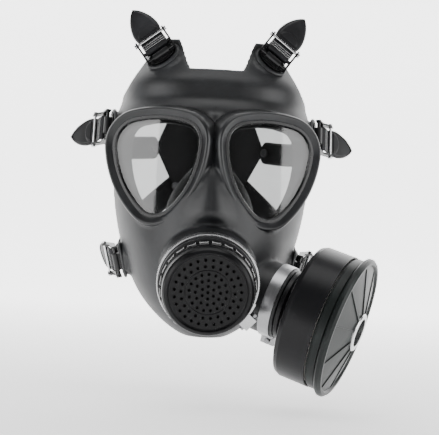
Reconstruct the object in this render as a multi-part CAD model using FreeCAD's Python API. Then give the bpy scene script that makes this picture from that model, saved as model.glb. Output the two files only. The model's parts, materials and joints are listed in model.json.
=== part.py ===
"""Full face respirator: moulded rubber facepiece, twin eyepieces, speech and exhalation unit, side filter canister
and a six-strap head harness. Millimetres. +X is the wearer's left, +Y points back into the head, +Z is up.
The origin is the middle of the face opening."""

import FreeCAD, Part
import math
import os
from FreeCAD import Vector as V

# ---------------------------------------------------------------- driving dimensions
RUBBER = 3.0                 # wall of the moulded facepiece
SEAL_BAND = 2.2              # extra thickness of the sealing edge
SEAL_WIDTH = 20.0            # width of the sealing edge, front to back
GAP = 0.2                    # clearance between pieces that are assembled together
SMALL_GAP = 0.1              # clearance of a locating fit
RUN_GAP = 0.3                # clearance round a piece that moves

# Horizontal sections of the facepiece: height, half width, centre depth, front depth, squareness
FACE_SECTIONS = [
    (-111.0, 17.0, -26.0, -50.0, 2.0),
    (-101.5, 34.0, -16.0, -62.0, 2.0),
    (-87.5, 49.0, -8.0, -72.0, 2.0),
    (-68.0, 62.0, -2.0, -80.0, 1.95),
    (-42.0, 72.0, 3.0, -83.0, 1.85),
    (-16.0, 79.0, 6.0, -82.0, 1.7),
    (8.0, 83.0, 8.0, -78.0, 1.6),
    (30.0, 85.0, 10.0, -68.0, 1.6),
    (50.0, 85.0, 12.0, -62.0, 1.7),
    (62.0, 84.0, 14.0, -61.0, 1.9),
    (74.0, 81.0, 18.0, -54.0, 2.1),
    (90.0, 79.0, 24.0, -47.0, 2.2),
    (106.0, 76.0, 31.0, -39.0, 2.1),
    (122.0, 72.0, 38.0, -28.0, 2.0),
    (138.0, 66.0, 44.0, -15.0, 2.0),
]
SECTION_POINTS = 13
FAR_FRONT = -200.0           # beyond the front of everything
FAR_BELOW = -200.0

# Front view outline of the forehead edge, half of it, from the middle outwards
NOTCH_FLOOR = 107.0          # height of the bottom of the forehead notch
NOTCH_HALF = 21.5            # half width of the notch at its floor
TAB_TOP = 133.0              # height of the two forehead tabs
TAB_INNER = 31.0             # half width of the notch at the top
FOREHEAD_EDGE = [(41.0, 133.5), (55.0, 121.0), (64.0, 107.0), (73.0, 92.0), (82.0, 80.0), (95.0, 72.0)]
# Side view outline of the rear edge: depth, height
REAR_EDGE = [(-14.0, -140.0), (-16.0, -112.0), (-4.0, -85.0), (4.0, -55.0), (3.0, -20.0), (2.0, 20.0),
             (6.0, 58.0), (10.0, 90.0), (24.0, 150.0)]

# Eyepieces: the outline is three corner circles joined by three large arcs, in the plane of the lens
EYE_CENTRE = (44.5, -62.5, 24.0)
EYE_YAW = 22.0               # how far each lens turns outwards
EYE_CORNERS = [(-20.5, 21.2, 14.8), (16.8, 16.2, 20.3), (1.2, -20.8, 17.2)]   # across, up, radius
EYE_SIDES = (95.0, 75.0, 75.0)                                               # top, outer, inner arc radius
LENS_THICK = 2.2
LENS_LAP = 2.2               # how far the lens reaches under the retaining ring
LENS_BACK = -4.6             # back face of the lens, along the eyepiece axis
LIP_FRONT = 0.0              # front of the rubber lip
LIP_WIDTH = 4.2              # front face of the rubber lip
RIM_DRAFT = 5.0              # the rim spreads this much towards its base
RIM_DEPTH = 38.0
EYE_RING_WIDTH = 2.6         # black ring between lens and lip

# Front unit, on an axis tilted down from the horizontal
FRONT_CENTRE = (0.0, -90.0, -62.6)
FRONT_TILT = 13.5
COLLAR_INNER = 35.0
COLLAR_WALL = 3.3
COLLAR_BACK, COLLAR_FRONT = -24.0, 12.0
BAND_THICK = 1.0
FRONT_BAND_A = 7.0           # middle of the band, along the unit's axis
SCREW_BOX_TALL, SCREW_BOX_LONG = 7.0, 11.0
SCREW_BOX_LAP = 1.2          # the screw's housing is this much wider than the band, each side
FRONT_SCREW_ANGLE, SIDE_SCREW_ANGLE = 228.0, 200.0    # where each clamp has its screw
WORM_R, WORM_BORE_R, WORM_HEAD_R = 2.1, 2.3, 2.9
FRONT_BAND_WIDTH = 7.0
HOUSING_FLANGE_R = 37.6
HOUSING_NOSE_R = 33.5
HOUSING_BORE = 31.0
LOCK_RING_R = 36.2
LOCK_RING_NOTCHES = 24
COVER_R = 35.0
COVER_FRONT = 34.5
HOLE_R = 1.05
HOLE_RINGS = [(0.0, 1), (4.8, 6), (9.4, 12), (14.2, 17), (20.2, 22), (25.2, 27)]
VALVE_PLATE_A, VALVE_PLATE_B = 4.0, 7.0
HUB_BORE = 10.0
FLAP_R = 28.0
FLAP_THICK = 1.0
SPOKES = 6

# Side port, on an axis that leaves the left cheek outwards, forwards and down
PORT_CENTRE = (58.5, -53.2, -78.4)
PORT_AXIS = (0.892, -0.345, -0.292)
NECK_INNER = 25.6
NECK_WALL = 3.4
NECK_FRONT = 8.0
NECK_BACK = -28.5
SIDE_BAND_WIDTH = 9.5
PORT_FLANGE_R = 28.4
PORT_MOUTH = 12.0
PORT_BACK = -9.5
THREAD_PITCH = 25.4 / 7.0
THREAD_MAJOR = 19.9
THREAD_CORE = 18.1
THREAD_TURNS = 3.0
THREAD_GAP = 0.3
NECK_END = -3.2              # inner end of the canister's threaded neck
NECK_BORE = 15.0
THREAD_ROOT, THREAD_CREST = 1.15, 0.55      # half widths of the thread ridge
THREAD_START = NECK_END + 1.6
PORT_SHELF = -6.0
STEM_BORE = 1.5

# Canister, on the same axis
CAN_BACK = 19.0               # rear face of the canister, clear of the port
CAN_R = 54.5
CAN_WALL = 0.9
CAN_EDGE = 5.0
CAN_BODY_END = CAN_BACK + 28.0
CAP_BAND_R = 54.0
CAP_RIM_R = 57.5
CAP_RIM_A, CAP_RIM_B = CAN_BACK + 37.0, CAN_BACK + 43.0
CAP_HUB_A = CAN_BACK + 49.0
CAP_HUB_R = 15.5
INLET_R = 11.5
CAP_RIBS = 10
BED_A, BED_B = CAN_BACK + 6.0, CAN_BACK + 19.0
CAP_INNER_R = 51.0
PLEAT_A, PLEAT_B = CAN_BACK + 21.5, CAN_BACK + 32.0
PLEAT_STEP, PLEAT_WALL = 6.0, 1.3

# Strap buckles, local frame: x across the strap, y along it, z away from the head
STRAP_WIDTH = 21.0
STRAP_THICK = 2.0
BUCKLE_HALF = 12.2           # inside half width between the side arms
ARM_THICK = 1.5
PIN_Y, PIN_Z, PIN_R = -1.5, 5.2, 1.4
BAR_Y, BAR_Z, BAR_R = 7.2, 6.2, 1.5
WIRE_Y, WIRE_Z, WIRE_R = 15.0, 12.2, 1.1
LUG_BARREL_R = 3.0
LUG_BARREL_HALF = 7.0
LUG_LONG, LUG_WIDE = 11.6, 6.5
LUG_FOOT = 2.0
LUG_PAD_MARGIN = 1.5         # rubber pad under each lug, past the end of the lug's foot
LUG_PAD_DEPTH = 6.2
SPOT_MARGIN = 0.5            # room round the lug's foot
STRAP_LEAD = 60.0            # distance over which a strap keeps the direction of its buckle
TAIL_LENGTH = 33.0
TAIL_WIDTH = 24.0

# Where each strap starts: lug centre, outward normal, direction in which the strap leaves, tilt of its tail
STRAPS = {
    "top": {"lug": (44.5, -19.0, 117.0), "normal": (0.46, -0.72, 0.52), "run": (0.40, 0.67, 0.62), "tail": 24.0},
    "temple": {"lug": (84.3, -3.0, 58.0), "normal": (0.955, -0.28, 0.08), "run": (0.41, 0.88, -0.22), "tail": 32.0},
    "cheek": {"lug": (70.6, -6.0, -53.0), "normal": (0.965, -0.08, -0.25), "run": (0.18, 0.96, 0.20), "tail": 14.0},
}
HEAD_CENTRE = (0.0, 46.0, 48.0)
HEAD_SIZE = (77.0, 98.0, 103.0)
PAD_TOP, PAD_MIDDLE, PAD_BOTTOM = (26.0, 86.0), (44.0, 50.0), (24.0, 20.0)   # half width, height of each corner
PAD_MARGIN, PAD_END = 7.0, 10.0      # the pad goes this far past its corners, at the sides and ends
PAD_THICK = 3.0
PAD_LIFT = 1.6               # the pad lies this far off the head form
STRAP_LIFT = 2.5
STRAP_STEPS = 10
RIVET_SHARE = 0.94           # where the rivet goes through the strap
RIVET_R = 2.0
SIDES = {"left": 1.0, "right": -1.0}     # the wearer's left is +X

# Nose cup
CUP_WALL = 2.0
CUP_SECTIONS = [
    (-97.0, 13.0, -30.0, -50.0, 2.0),
    (-86.0, 25.0, -26.0, -60.0, 2.0),
    (-68.0, 33.0, -22.0, -70.0, 2.0),
    (-42.0, 37.0, -20.0, -74.0, 2.1),
    (-16.0, 37.0, -20.0, -70.0, 2.0),
    (6.0, 31.0, -24.0, -64.0, 2.0),
    (24.0, 18.0, -32.0, -59.0, 2.0),
    (34.0, 9.0, -40.0, -56.0, 2.0),
]
# Side view outline of the cup's open edge: depth, height
CUP_REAR_EDGE = [(-24.0, -120.0), (-22.0, -70.0), (-14.0, -40.0), (-18.0, -10.0), (-34.0, 16.0), (-44.0, 45.0)]
CUP_COLLAR_R = 30.7
CUP_SEAT_R = 8.0             # valve seat in the cup's flank, and the flange round it
CUP_FLANGE_R = 9.4
CUP_FLANGE_LOW, CUP_FLANGE_HIGH = 1.9, 3.1
CUP_VALVE = (30.1, -48.0, -28.0)
CUP_VALVE_AXIS = (0.913, -0.407, 0.0)


# ---------------------------------------------------------------- helpers
def axis_placement(origin, direction, across=(0, 0, 1)):
    """Placement whose local z runs along direction and whose local x is as near to across as it can be."""
    z = V(*direction).normalize()
    x = V(*across)
    x = (x - z * x.dot(z)).normalize()
    y = z.cross(x)
    m = FreeCAD.Matrix(x.x, y.x, z.x, origin[0], x.y, y.y, z.y, origin[1], x.z, y.z, z.z, origin[2], 0, 0, 0, 1)
    return FreeCAD.Placement(m)


def placed(shape, placement):
    copy = shape.copy()
    copy.transformShape(placement.toMatrix(), True)
    return copy


def turned(profile):
    """Solid of revolution about local z from a closed list of (radius, height) points."""
    points = [V(r, 0, a) for r, a in profile]
    face = Part.Face(Part.makePolygon(points + points[:1]))
    return face.revolve(V(0, 0, 0), V(0, 0, 1), 360)


def tube(outer, inner, low, high):
    return turned([(inner, low), (outer, low), (outer, high), (inner, high)])


def rod(radius, start, end):
    start, end = V(*start), V(*end)
    return Part.makeCylinder(radius, (end - start).Length, start, end - start)


def block(low, high):
    size = V(*high) - V(*low)
    return Part.makeBox(size.x, size.y, size.z, V(*low))


def fused(shapes):
    whole = shapes[0]
    if len(shapes) > 1:
        whole = whole.multiFuse(shapes[1:])
    return whole.removeSplitter()


def mirrored(shape):
    return shape.mirror(V(0, 0, 0), V(1, 0, 0))


def save(name, shape):
    """Writes one node. Its solids are kept apart in a compound."""
    solids = [s for s in shape.Solids if s.Volume > 0.01]
    whole = solids[0] if len(solids) == 1 else Part.makeCompound(solids)
    whole.exportStep(f"parts/{name}.step")
    print(f"{name:28s} solids {len(solids)} volume {whole.Volume / 1000:9.2f} cm3 valid {whole.isValid()}")


# ---------------------------------------------------------------- facepiece
def section_wire(section, inset, back):
    """Closed horizontal section: a superellipse front closed by a straight line behind."""
    z, half, centre, front, power = section
    half, depth = half - inset, centre - front - inset
    points = []
    for k in range(SECTION_POINTS):
        t = math.pi * k / (SECTION_POINTS - 1)
        c, s = math.cos(t), math.sin(t)
        x = half * math.copysign(abs(c) ** (2 / power), c)
        points.append(V(x, centre - depth * max(s, 0.0) ** (2 / power), z))
    curve = Part.BSplineCurve()
    curve.interpolate(points)
    a, b = points[0], points[-1]
    rear = [Part.makeLine(b, V(b.x, back, z)), Part.makeLine(V(b.x, back, z), V(a.x, back, z)),
            Part.makeLine(V(a.x, back, z), a)]
    return Part.Wire([curve.toShape()] + rear)


def face_block(inset, raise_floor=0.0, back=75.0, sections=FACE_SECTIONS):
    """Solid bounded by the outside of the facepiece moved in by inset."""
    rows = [list(s) for s in sections]
    rows[0][0] += raise_floor
    return Part.makeLoft([section_wire(s, inset, back) for s in rows], True, False)


def forehead_outline():
    """Everything below the forehead edge, as a thick plate seen from the front."""
    right = [V(x, 0, z) for x, z in FOREHEAD_EDGE]
    left = [V(-x, 0, z) for x, z in reversed(FOREHEAD_EDGE)]
    edges = []
    for points in (right, left):
        curve = Part.BSplineCurve()
        curve.interpolate(points)
        edges.append(curve.toShape())
    corners = [left[-1], V(-TAB_INNER, 0, TAB_TOP), V(-NOTCH_HALF, 0, NOTCH_FLOOR),
               V(NOTCH_HALF, 0, NOTCH_FLOOR), V(TAB_INNER, 0, TAB_TOP), right[0]]
    notch = [Part.makeLine(a, b) for a, b in zip(corners, corners[1:])]
    sides = [Part.makeLine(right[-1], V(right[-1].x, 0, FAR_BELOW)),
             Part.makeLine(V(right[-1].x, 0, FAR_BELOW), V(left[0].x, 0, FAR_BELOW)),
             Part.makeLine(V(left[0].x, 0, FAR_BELOW), left[0])]
    wire = Part.Wire(Part.__sortEdges__(edges + notch + sides))
    return placed(Part.Face(wire).extrude(V(0, 300, 0)), FreeCAD.Placement(V(0, -150, 0), FreeCAD.Rotation()))


def rear_region(shift):
    """Everything in front of the rear edge moved forwards by shift."""
    curve = Part.BSplineCurve()
    points = [V(0, y - shift, z) for y, z in REAR_EDGE]
    curve.interpolate(points)
    high, low = V(0, FAR_FRONT, points[-1].z), V(0, FAR_FRONT, points[0].z)
    wire = Part.Wire([curve.toShape(), Part.makeLine(points[-1], high), Part.makeLine(high, low),
                      Part.makeLine(low, points[0])])
    return placed(Part.Face(wire).extrude(V(300, 0, 0)), FreeCAD.Placement(V(-150, 0, 0), FreeCAD.Rotation()))


def eye_outline(grow, height):
    """Rounded triangle: tangent arcs round three corner circles, all moved out by grow."""
    circles = [(V(u, v, 0), r + grow) for u, v, r in EYE_CORNERS]
    sides = []
    for k in range(3):
        (c1, r1), (c2, r2) = circles[k], circles[(k + 1) % 3]
        radius = EYE_SIDES[k] + grow
        d1, d2, span = radius - r1, radius - r2, (c2 - c1).Length
        along = (d1 * d1 - d2 * d2 + span * span) / (2 * span)
        across = math.sqrt(d1 * d1 - along * along)
        unit = (c2 - c1) * (1 / span)
        inward = V(unit.y, -unit.x, 0)
        centre = c1 + unit * along + inward * across
        start = centre + (c1 - centre).normalize() * radius
        end = centre + (c2 - centre).normalize() * radius
        middle = centre - inward * radius
        sides.append((start, middle, end))
    edges = []
    for k in range(3):
        start, middle, end = sides[k]
        edges.append(Part.Arc(start, middle, end).toShape())
        centre, radius = circles[(k + 1) % 3]
        following = sides[(k + 1) % 3][0]
        corner = centre + ((end - centre) + (following - centre)).normalize() * radius
        edges.append(Part.Arc(end, corner, following).toShape())
    wire = Part.Wire(edges)
    wire.translate(V(0, 0, height))
    return wire


def eye_slab(grow, low, high, grow_low=None):
    """Prism of the eye outline, or a drafted one when grow_low is given."""
    bottom = eye_outline(grow if grow_low is None else grow_low, low)
    return Part.makeLoft([bottom, eye_outline(grow, high)], True, True)


def eye_placement():
    yaw = math.radians(EYE_YAW)
    return axis_placement(EYE_CENTRE, (math.sin(yaw), -math.cos(yaw), 0), (math.cos(yaw), math.sin(yaw), 0))


def both(shape):
    return [shape, mirrored(shape)]


def front_placement():
    tilt = math.radians(FRONT_TILT)
    return axis_placement(FRONT_CENTRE, (0, -math.cos(tilt), -math.sin(tilt)))


def port_placement():
    return axis_placement(PORT_CENTRE, PORT_AXIS)


def strap_placement(kind, side):
    """Local frame of a strap's lug: x across, y along the strap, z away from the head."""
    data, sign = STRAPS[kind], SIDES[side]
    lug = (data["lug"][0] * sign, data["lug"][1], data["lug"][2])
    normal = V(data["normal"][0] * sign, data["normal"][1], data["normal"][2]).normalize()
    run = V(data["run"][0] * sign, data["run"][1], data["run"][2])
    run = (run - normal * run.dot(normal)).normalize()
    return axis_placement(lug, tuple(normal), tuple(run.cross(normal)))


def strap_tabs():
    """Rubber pads that carry the lugs, joined to the edge of the facepiece."""
    pads = []
    for kind in STRAPS:
        for side in SIDES:
            pad = Part.makeCylinder(LUG_LONG + LUG_PAD_MARGIN, LUG_PAD_DEPTH, V(0, 0, -LUG_PAD_DEPTH))
            pads.append(placed(pad, strap_placement(kind, side)))
    return pads


def lug_spot_faces():
    """Space over each rubber pad, so that the foot of the lug lies flat on it."""
    spots = []
    for kind in STRAPS:
        for side in SIDES:
            spot = Part.makeCylinder(LUG_LONG + SPOT_MARGIN, LUG_PAD_DEPTH)
            spots.append(placed(spot, strap_placement(kind, side)))
    return spots


def build_facepiece():
    outside = face_block(0.0)
    inside = face_block(RUBBER, RUBBER)
    band_inside = face_block(RUBBER + SEAL_BAND, RUBBER + SEAL_BAND)
    shell = outside.cut(inside)
    seal = outside.cut(band_inside).cut(rear_region(SEAL_WIDTH))
    shell = shell.fuse(seal)
    shell = shell.fuse([p.cut(inside) for p in strap_tabs()])
    shell = shell.common(rear_region(0.0)).common(forehead_outline())

    eye = eye_placement()
    rim_outer = LENS_LAP + EYE_RING_WIDTH + LIP_WIDTH
    rim = placed(eye_slab(rim_outer, -RIM_DEPTH, LIP_FRONT, rim_outer + RIM_DRAFT), eye)
    well = placed(eye_slab(EYE_RING_WIDTH, LENS_BACK, LIP_FRONT + 5), eye)
    window = placed(eye_slab(-LENS_LAP - 1.0, -60.0, LIP_FRONT + 5), eye)
    for piece in both(rim):
        shell = shell.fuse(piece.cut(inside))
    for piece in both(well) + both(window):
        shell = shell.cut(piece)

    port = port_placement()
    neck = placed(Part.makeCylinder(NECK_INNER + NECK_WALL, NECK_FRONT - NECK_BACK, V(0, 0, NECK_BACK)), port)
    shell = shell.fuse(neck.cut(inside))
    shell = shell.cut(placed(Part.makeCylinder(NECK_INNER, 60, V(0, 0, -40)), port))

    front = front_placement()
    collar = Part.makeCylinder(COLLAR_INNER + COLLAR_WALL, COLLAR_FRONT - COLLAR_BACK, V(0, 0, COLLAR_BACK))
    shell = shell.fuse(placed(collar, front).cut(inside))
    shell = shell.cut(placed(Part.makeCylinder(COLLAR_INNER, 80, V(0, 0, -40)), front))
    for spot in lug_spot_faces():
        shell = shell.cut(spot)
    return max(shell.Solids, key=lambda s: s.Volume)


# ---------------------------------------------------------------- eyepieces
def build_eyepieces():
    eye = eye_placement()
    back, front = LENS_BACK + SMALL_GAP, LENS_BACK + SMALL_GAP + LENS_THICK
    lens = placed(eye_slab(EYE_RING_WIDTH - GAP, back, front), eye)
    ring_outer = eye_slab(EYE_RING_WIDTH - SMALL_GAP, front + SMALL_GAP, LIP_FRONT - 0.3)
    ring_inner = eye_slab(1.0, front, LIP_FRONT + 1, -LENS_LAP + 1.2)
    ring = placed(ring_outer.cut(ring_inner), eye)
    for side, pick in (("left", 0), ("right", 1)):
        save(f"lens_{side}", both(lens)[pick])
        save(f"lens_ring_{side}", both(ring)[pick])


# ---------------------------------------------------------------- clamps
def worm_clamp(radius, width, placement, angle, band_name, screw_name):
    """Steel band with a screw housing; the worm screw lies along the band's tangent."""
    band = tube(radius + BAND_THICK, radius, -width / 2, width / 2)
    half, tall, long = width / 2 + SCREW_BOX_LAP, SCREW_BOX_TALL, SCREW_BOX_LONG
    centre_r = radius + BAND_THICK + tall / 2 + 0.9
    box = block((radius + BAND_THICK - 0.6, -long / 2, -half), (centre_r + tall / 2, long / 2, half))
    bore = rod(WORM_BORE_R, (centre_r, -long, 0), (centre_r, long, 0))
    overlap = tube(radius + 2 * BAND_THICK, radius + BAND_THICK, -width / 2, width / 2)
    wedge = turned_wedge(radius + 5, width, 42.0)
    clamp = fused([band, box, overlap.common(wedge)]).cut(bore)
    shank = rod(WORM_R, (centre_r, -long / 2 - 2.5, 0), (centre_r, long / 2 + 0.5, 0))
    head = Part.makeCylinder(WORM_HEAD_R, 2.6, V(centre_r, long / 2 + 0.5, 0), V(0, 1, 0))
    slot = block((centre_r - 4, long / 2 + 2.0, -0.5), (centre_r + 4, long / 2 + 4, 0.5))
    screw = fused([shank, head]).cut(slot)
    turn = FreeCAD.Placement(V(0, 0, 0), FreeCAD.Rotation(V(0, 0, 1), angle))
    whole = placement.multiply(turn)
    save(band_name, placed(clamp, whole))
    save(screw_name, placed(screw, whole))
    pivot = whole.multVec(V(centre_r, 0, 0))
    direction = whole.Rotation.multVec(V(0, 1, 0))
    print("  axis", screw_name, [round(c, 4) for c in pivot], [round(c, 5) for c in direction])


def turned_wedge(radius, width, degrees):
    """Pie slice about local z, centred on local x."""
    half = math.radians(degrees / 2)
    points = [V(0, 0, -width), V(radius * math.cos(half), -radius * math.sin(half), -width),
              V(radius * 1.3, 0, -width), V(radius * math.cos(half), radius * math.sin(half), -width)]
    return Part.Face(Part.makePolygon(points + points[:1])).extrude(V(0, 0, 2 * width))


# ---------------------------------------------------------------- front unit
def build_front_unit():
    front = front_placement()
    band_place = front.multiply(FreeCAD.Placement(V(0, 0, FRONT_BAND_A), FreeCAD.Rotation()))
    worm_clamp(COLLAR_INNER + COLLAR_WALL + SMALL_GAP, FRONT_BAND_WIDTH, band_place, FRONT_SCREW_ANGLE,
               "front_clamp_band", "front_clamp_screw")

    tail_r = COLLAR_INNER - GAP
    body = turned([(HOUSING_BORE, -12), (tail_r, -12), (tail_r, COLLAR_FRONT + GAP),
                   (HOUSING_FLANGE_R, COLLAR_FRONT + GAP), (HOUSING_FLANGE_R, 16), (HOUSING_NOSE_R, 16.8),
                   (HOUSING_NOSE_R, 25), (HOUSING_BORE + 0.5, 25), (HOUSING_BORE + 0.5, 16), (HOUSING_BORE, 15)])
    plate = tube(HOUSING_BORE + 0.5, HUB_BORE, VALVE_PLATE_A, VALVE_PLATE_B)
    port_ring = tube(26.5, 17.5, VALVE_PLATE_A - 1, VALVE_PLATE_B + 1)
    for k in range(SPOKES):
        spoke = block((10, -1.3, -5), (30, 1.3, 15))
        spoke.rotate(V(0, 0, 0), V(0, 0, 1), 360 / SPOKES * k)
        port_ring = port_ring.cut(spoke)
    save("front_housing", placed(fused([body, plate.cut(port_ring)]), front))

    flap_low = VALVE_PLATE_B + SMALL_GAP
    flap = turned([(HUB_BORE + 0.2, flap_low), (FLAP_R, flap_low), (FLAP_R, flap_low + 0.7),
                   (FLAP_R - 3, flap_low + FLAP_THICK), (HUB_BORE + 0.2, flap_low + FLAP_THICK)])
    save("exhalation_flap", placed(flap, front))

    hub_low = flap_low + FLAP_THICK + 1.6
    hub = turned([(7.8, 2), (HUB_BORE - 0.15, 2), (HUB_BORE - 0.15, hub_low), (16.4, hub_low), (16.4, hub_low + 2.6),
                  (12.5, hub_low + 2.6), (12.5, hub_low + 1.4), (7.8, hub_low + 1.4)])
    snap = turned([(HUB_BORE - 0.6, 2.4), (11.2, 3.0), (11.2, VALVE_PLATE_A - SMALL_GAP),
                   (HUB_BORE - 0.6, VALVE_PLATE_A - SMALL_GAP)])
    save("diaphragm_hub", placed(fused([hub, snap]), front))

    top = hub_low + 2.6 + SMALL_GAP
    wave = [(0, top), (4, top), (6, top + 0.8), (8, top), (10, top + 0.8), (12, top), (16.2, top)]
    foil = [(r, a + 0.35) for r, a in reversed(wave)]
    save("speech_diaphragm", placed(turned(wave + foil), front))
    clamp_low = top + 0.35 + SMALL_GAP
    save("diaphragm_ring", placed(turned([(12.8, clamp_low), (16.4, clamp_low), (16.4, clamp_low + 2.2),
                                          (13.6, clamp_low + 2.2)]), front))

    ring = turned([(HOUSING_NOSE_R + RUN_GAP, 17.2), (LOCK_RING_R, 17.2), (LOCK_RING_R, 24.0),
                   (LOCK_RING_R - 0.8, 25.0), (HOUSING_NOSE_R + RUN_GAP, 25.0)])
    notches = []
    for k in range(LOCK_RING_NOTCHES):
        notch = block((LOCK_RING_R - 0.9, -1.2, 19.0), (LOCK_RING_R + 2, 1.2, 30))
        notch.rotate(V(0, 0, 0), V(0, 0, 1), 360 / LOCK_RING_NOTCHES * k)
        notches.append(notch)
    save("lock_ring", placed(ring.cut(notches), front))

    face = COVER_FRONT - 2.0
    cover = turned([(0, face - 2.2), (29.6, face - 2.2), (29.6, 20), (HOUSING_BORE + 0.2, 20),
                    (HOUSING_BORE + 0.2, 25.4),
                    (COVER_R, 25.4), (COVER_R, 29.0), (COVER_R - 0.6, 31.4), (COVER_R - 2.0, 33.4),
                    (COVER_R - 3.8, COVER_FRONT), (30.4, COVER_FRONT), (29.6, face + 0.4), (28.9, face),
                    (17.6, face), (17.2, face + 0.5), (16.8, face), (0, face)])
    holes = []
    for radius, count in HOLE_RINGS:
        for k in range(count):
            angle = 2 * math.pi * (k + 0.5 * (radius > 15)) / count
            foot = V(radius * math.cos(angle), radius * math.sin(angle), face - 5)
            holes.append(Part.makeCylinder(HOLE_R, 8, foot))
    save("front_cover", placed(cover.cut(Part.makeCompound(holes)), front))
    direction = front.Rotation.multVec(V(0, 0, 1))
    print("  front axis", [round(c, 5) for c in direction])


# ---------------------------------------------------------------- side port and canister
def helix_ridge(core, crest, root_half, crest_half, start, turns):
    """Right-handed thread ridge about local z."""
    helix = Part.makeHelix(THREAD_PITCH, THREAD_PITCH * turns, core)
    helix.translate(V(0, 0, start))
    points = [V(core - 0.15, 0, start - root_half), V(crest, 0, start - crest_half),
              V(crest, 0, start + crest_half), V(core - 0.15, 0, start + root_half)]
    profile = Part.makePolygon(points + points[:1])
    return Part.Wire(helix).makePipeShell([profile], True, True)


def build_side_port():
    port = port_placement()
    worm_clamp(NECK_INNER + NECK_WALL + SMALL_GAP, SIDE_BAND_WIDTH, port, SIDE_SCREW_ANGLE,
               "side_clamp_band", "side_clamp_screw")
    body_r = NECK_INNER - GAP
    bore_r = THREAD_CORE + THREAD_GAP
    insert = turned([(NECK_BORE + 0.4, PORT_BACK), (body_r, PORT_BACK), (body_r, NECK_FRONT + GAP),
                     (PORT_FLANGE_R, NECK_FRONT + GAP), (PORT_FLANGE_R, PORT_MOUTH - 0.8),
                     (PORT_FLANGE_R - 0.8, PORT_MOUTH), (bore_r, PORT_MOUTH), (bore_r, PORT_SHELF),
                     (NECK_BORE + 0.4, PORT_SHELF)])
    groove_start = THREAD_START - THREAD_PITCH
    for turn in range(math.ceil((PORT_MOUTH - groove_start) / THREAD_PITCH)):
        groove = helix_ridge(bore_r, THREAD_MAJOR + THREAD_GAP, THREAD_ROOT + THREAD_GAP,
                             THREAD_CREST + THREAD_GAP, groove_start + turn * THREAD_PITCH, 1)
        insert = insert.cut(groove)
    save("port_insert", placed(insert, port))

    seat = tube(NECK_BORE + 0.3, 12.6, PORT_BACK, PORT_BACK + 2)
    boss = tube(3.2, STEM_BORE, PORT_BACK, PORT_BACK + 2)
    arms = []
    for k in range(4):
        arm = block((2.4, -1.0, PORT_BACK), (13.2, 1.0, PORT_BACK + 2))
        arm.rotate(V(0, 0, 0), V(0, 0, 1), 90 * k)
        arms.append(arm)
    save("inhalation_seat", placed(fused([seat, boss] + arms), port))
    low = PORT_BACK - SMALL_GAP
    stem = STEM_BORE - SMALL_GAP
    flap = turned([(0, low - 1.0), (10, low - 1.0), (14.0, low - 0.6), (14.0, low), (stem, low), (stem, low + 4.2),
                   (0, low + 5.2)])
    save("inhalation_flap", placed(flap, port))
    gasket = tube(THREAD_CORE - 0.1, NECK_BORE + 0.5, PORT_SHELF + SMALL_GAP, NECK_END - SMALL_GAP)
    save("port_gasket", placed(gasket, port))


def perforated_disc(radius, low, high, pitch, hole):
    disc = Part.makeCylinder(radius, high - low, V(0, 0, low))
    holes = []
    rings = int((radius - 4) / pitch)
    for ring in range(rings):
        count = max(1, 6 * ring)
        for k in range(count):
            angle = 2 * math.pi * k / count
            centre = V(ring * pitch * math.cos(angle), ring * pitch * math.sin(angle), low - 1)
            holes.append(Part.makeCylinder(hole, high - low + 2, centre))
    return disc.cut(Part.makeCompound(holes))


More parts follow.
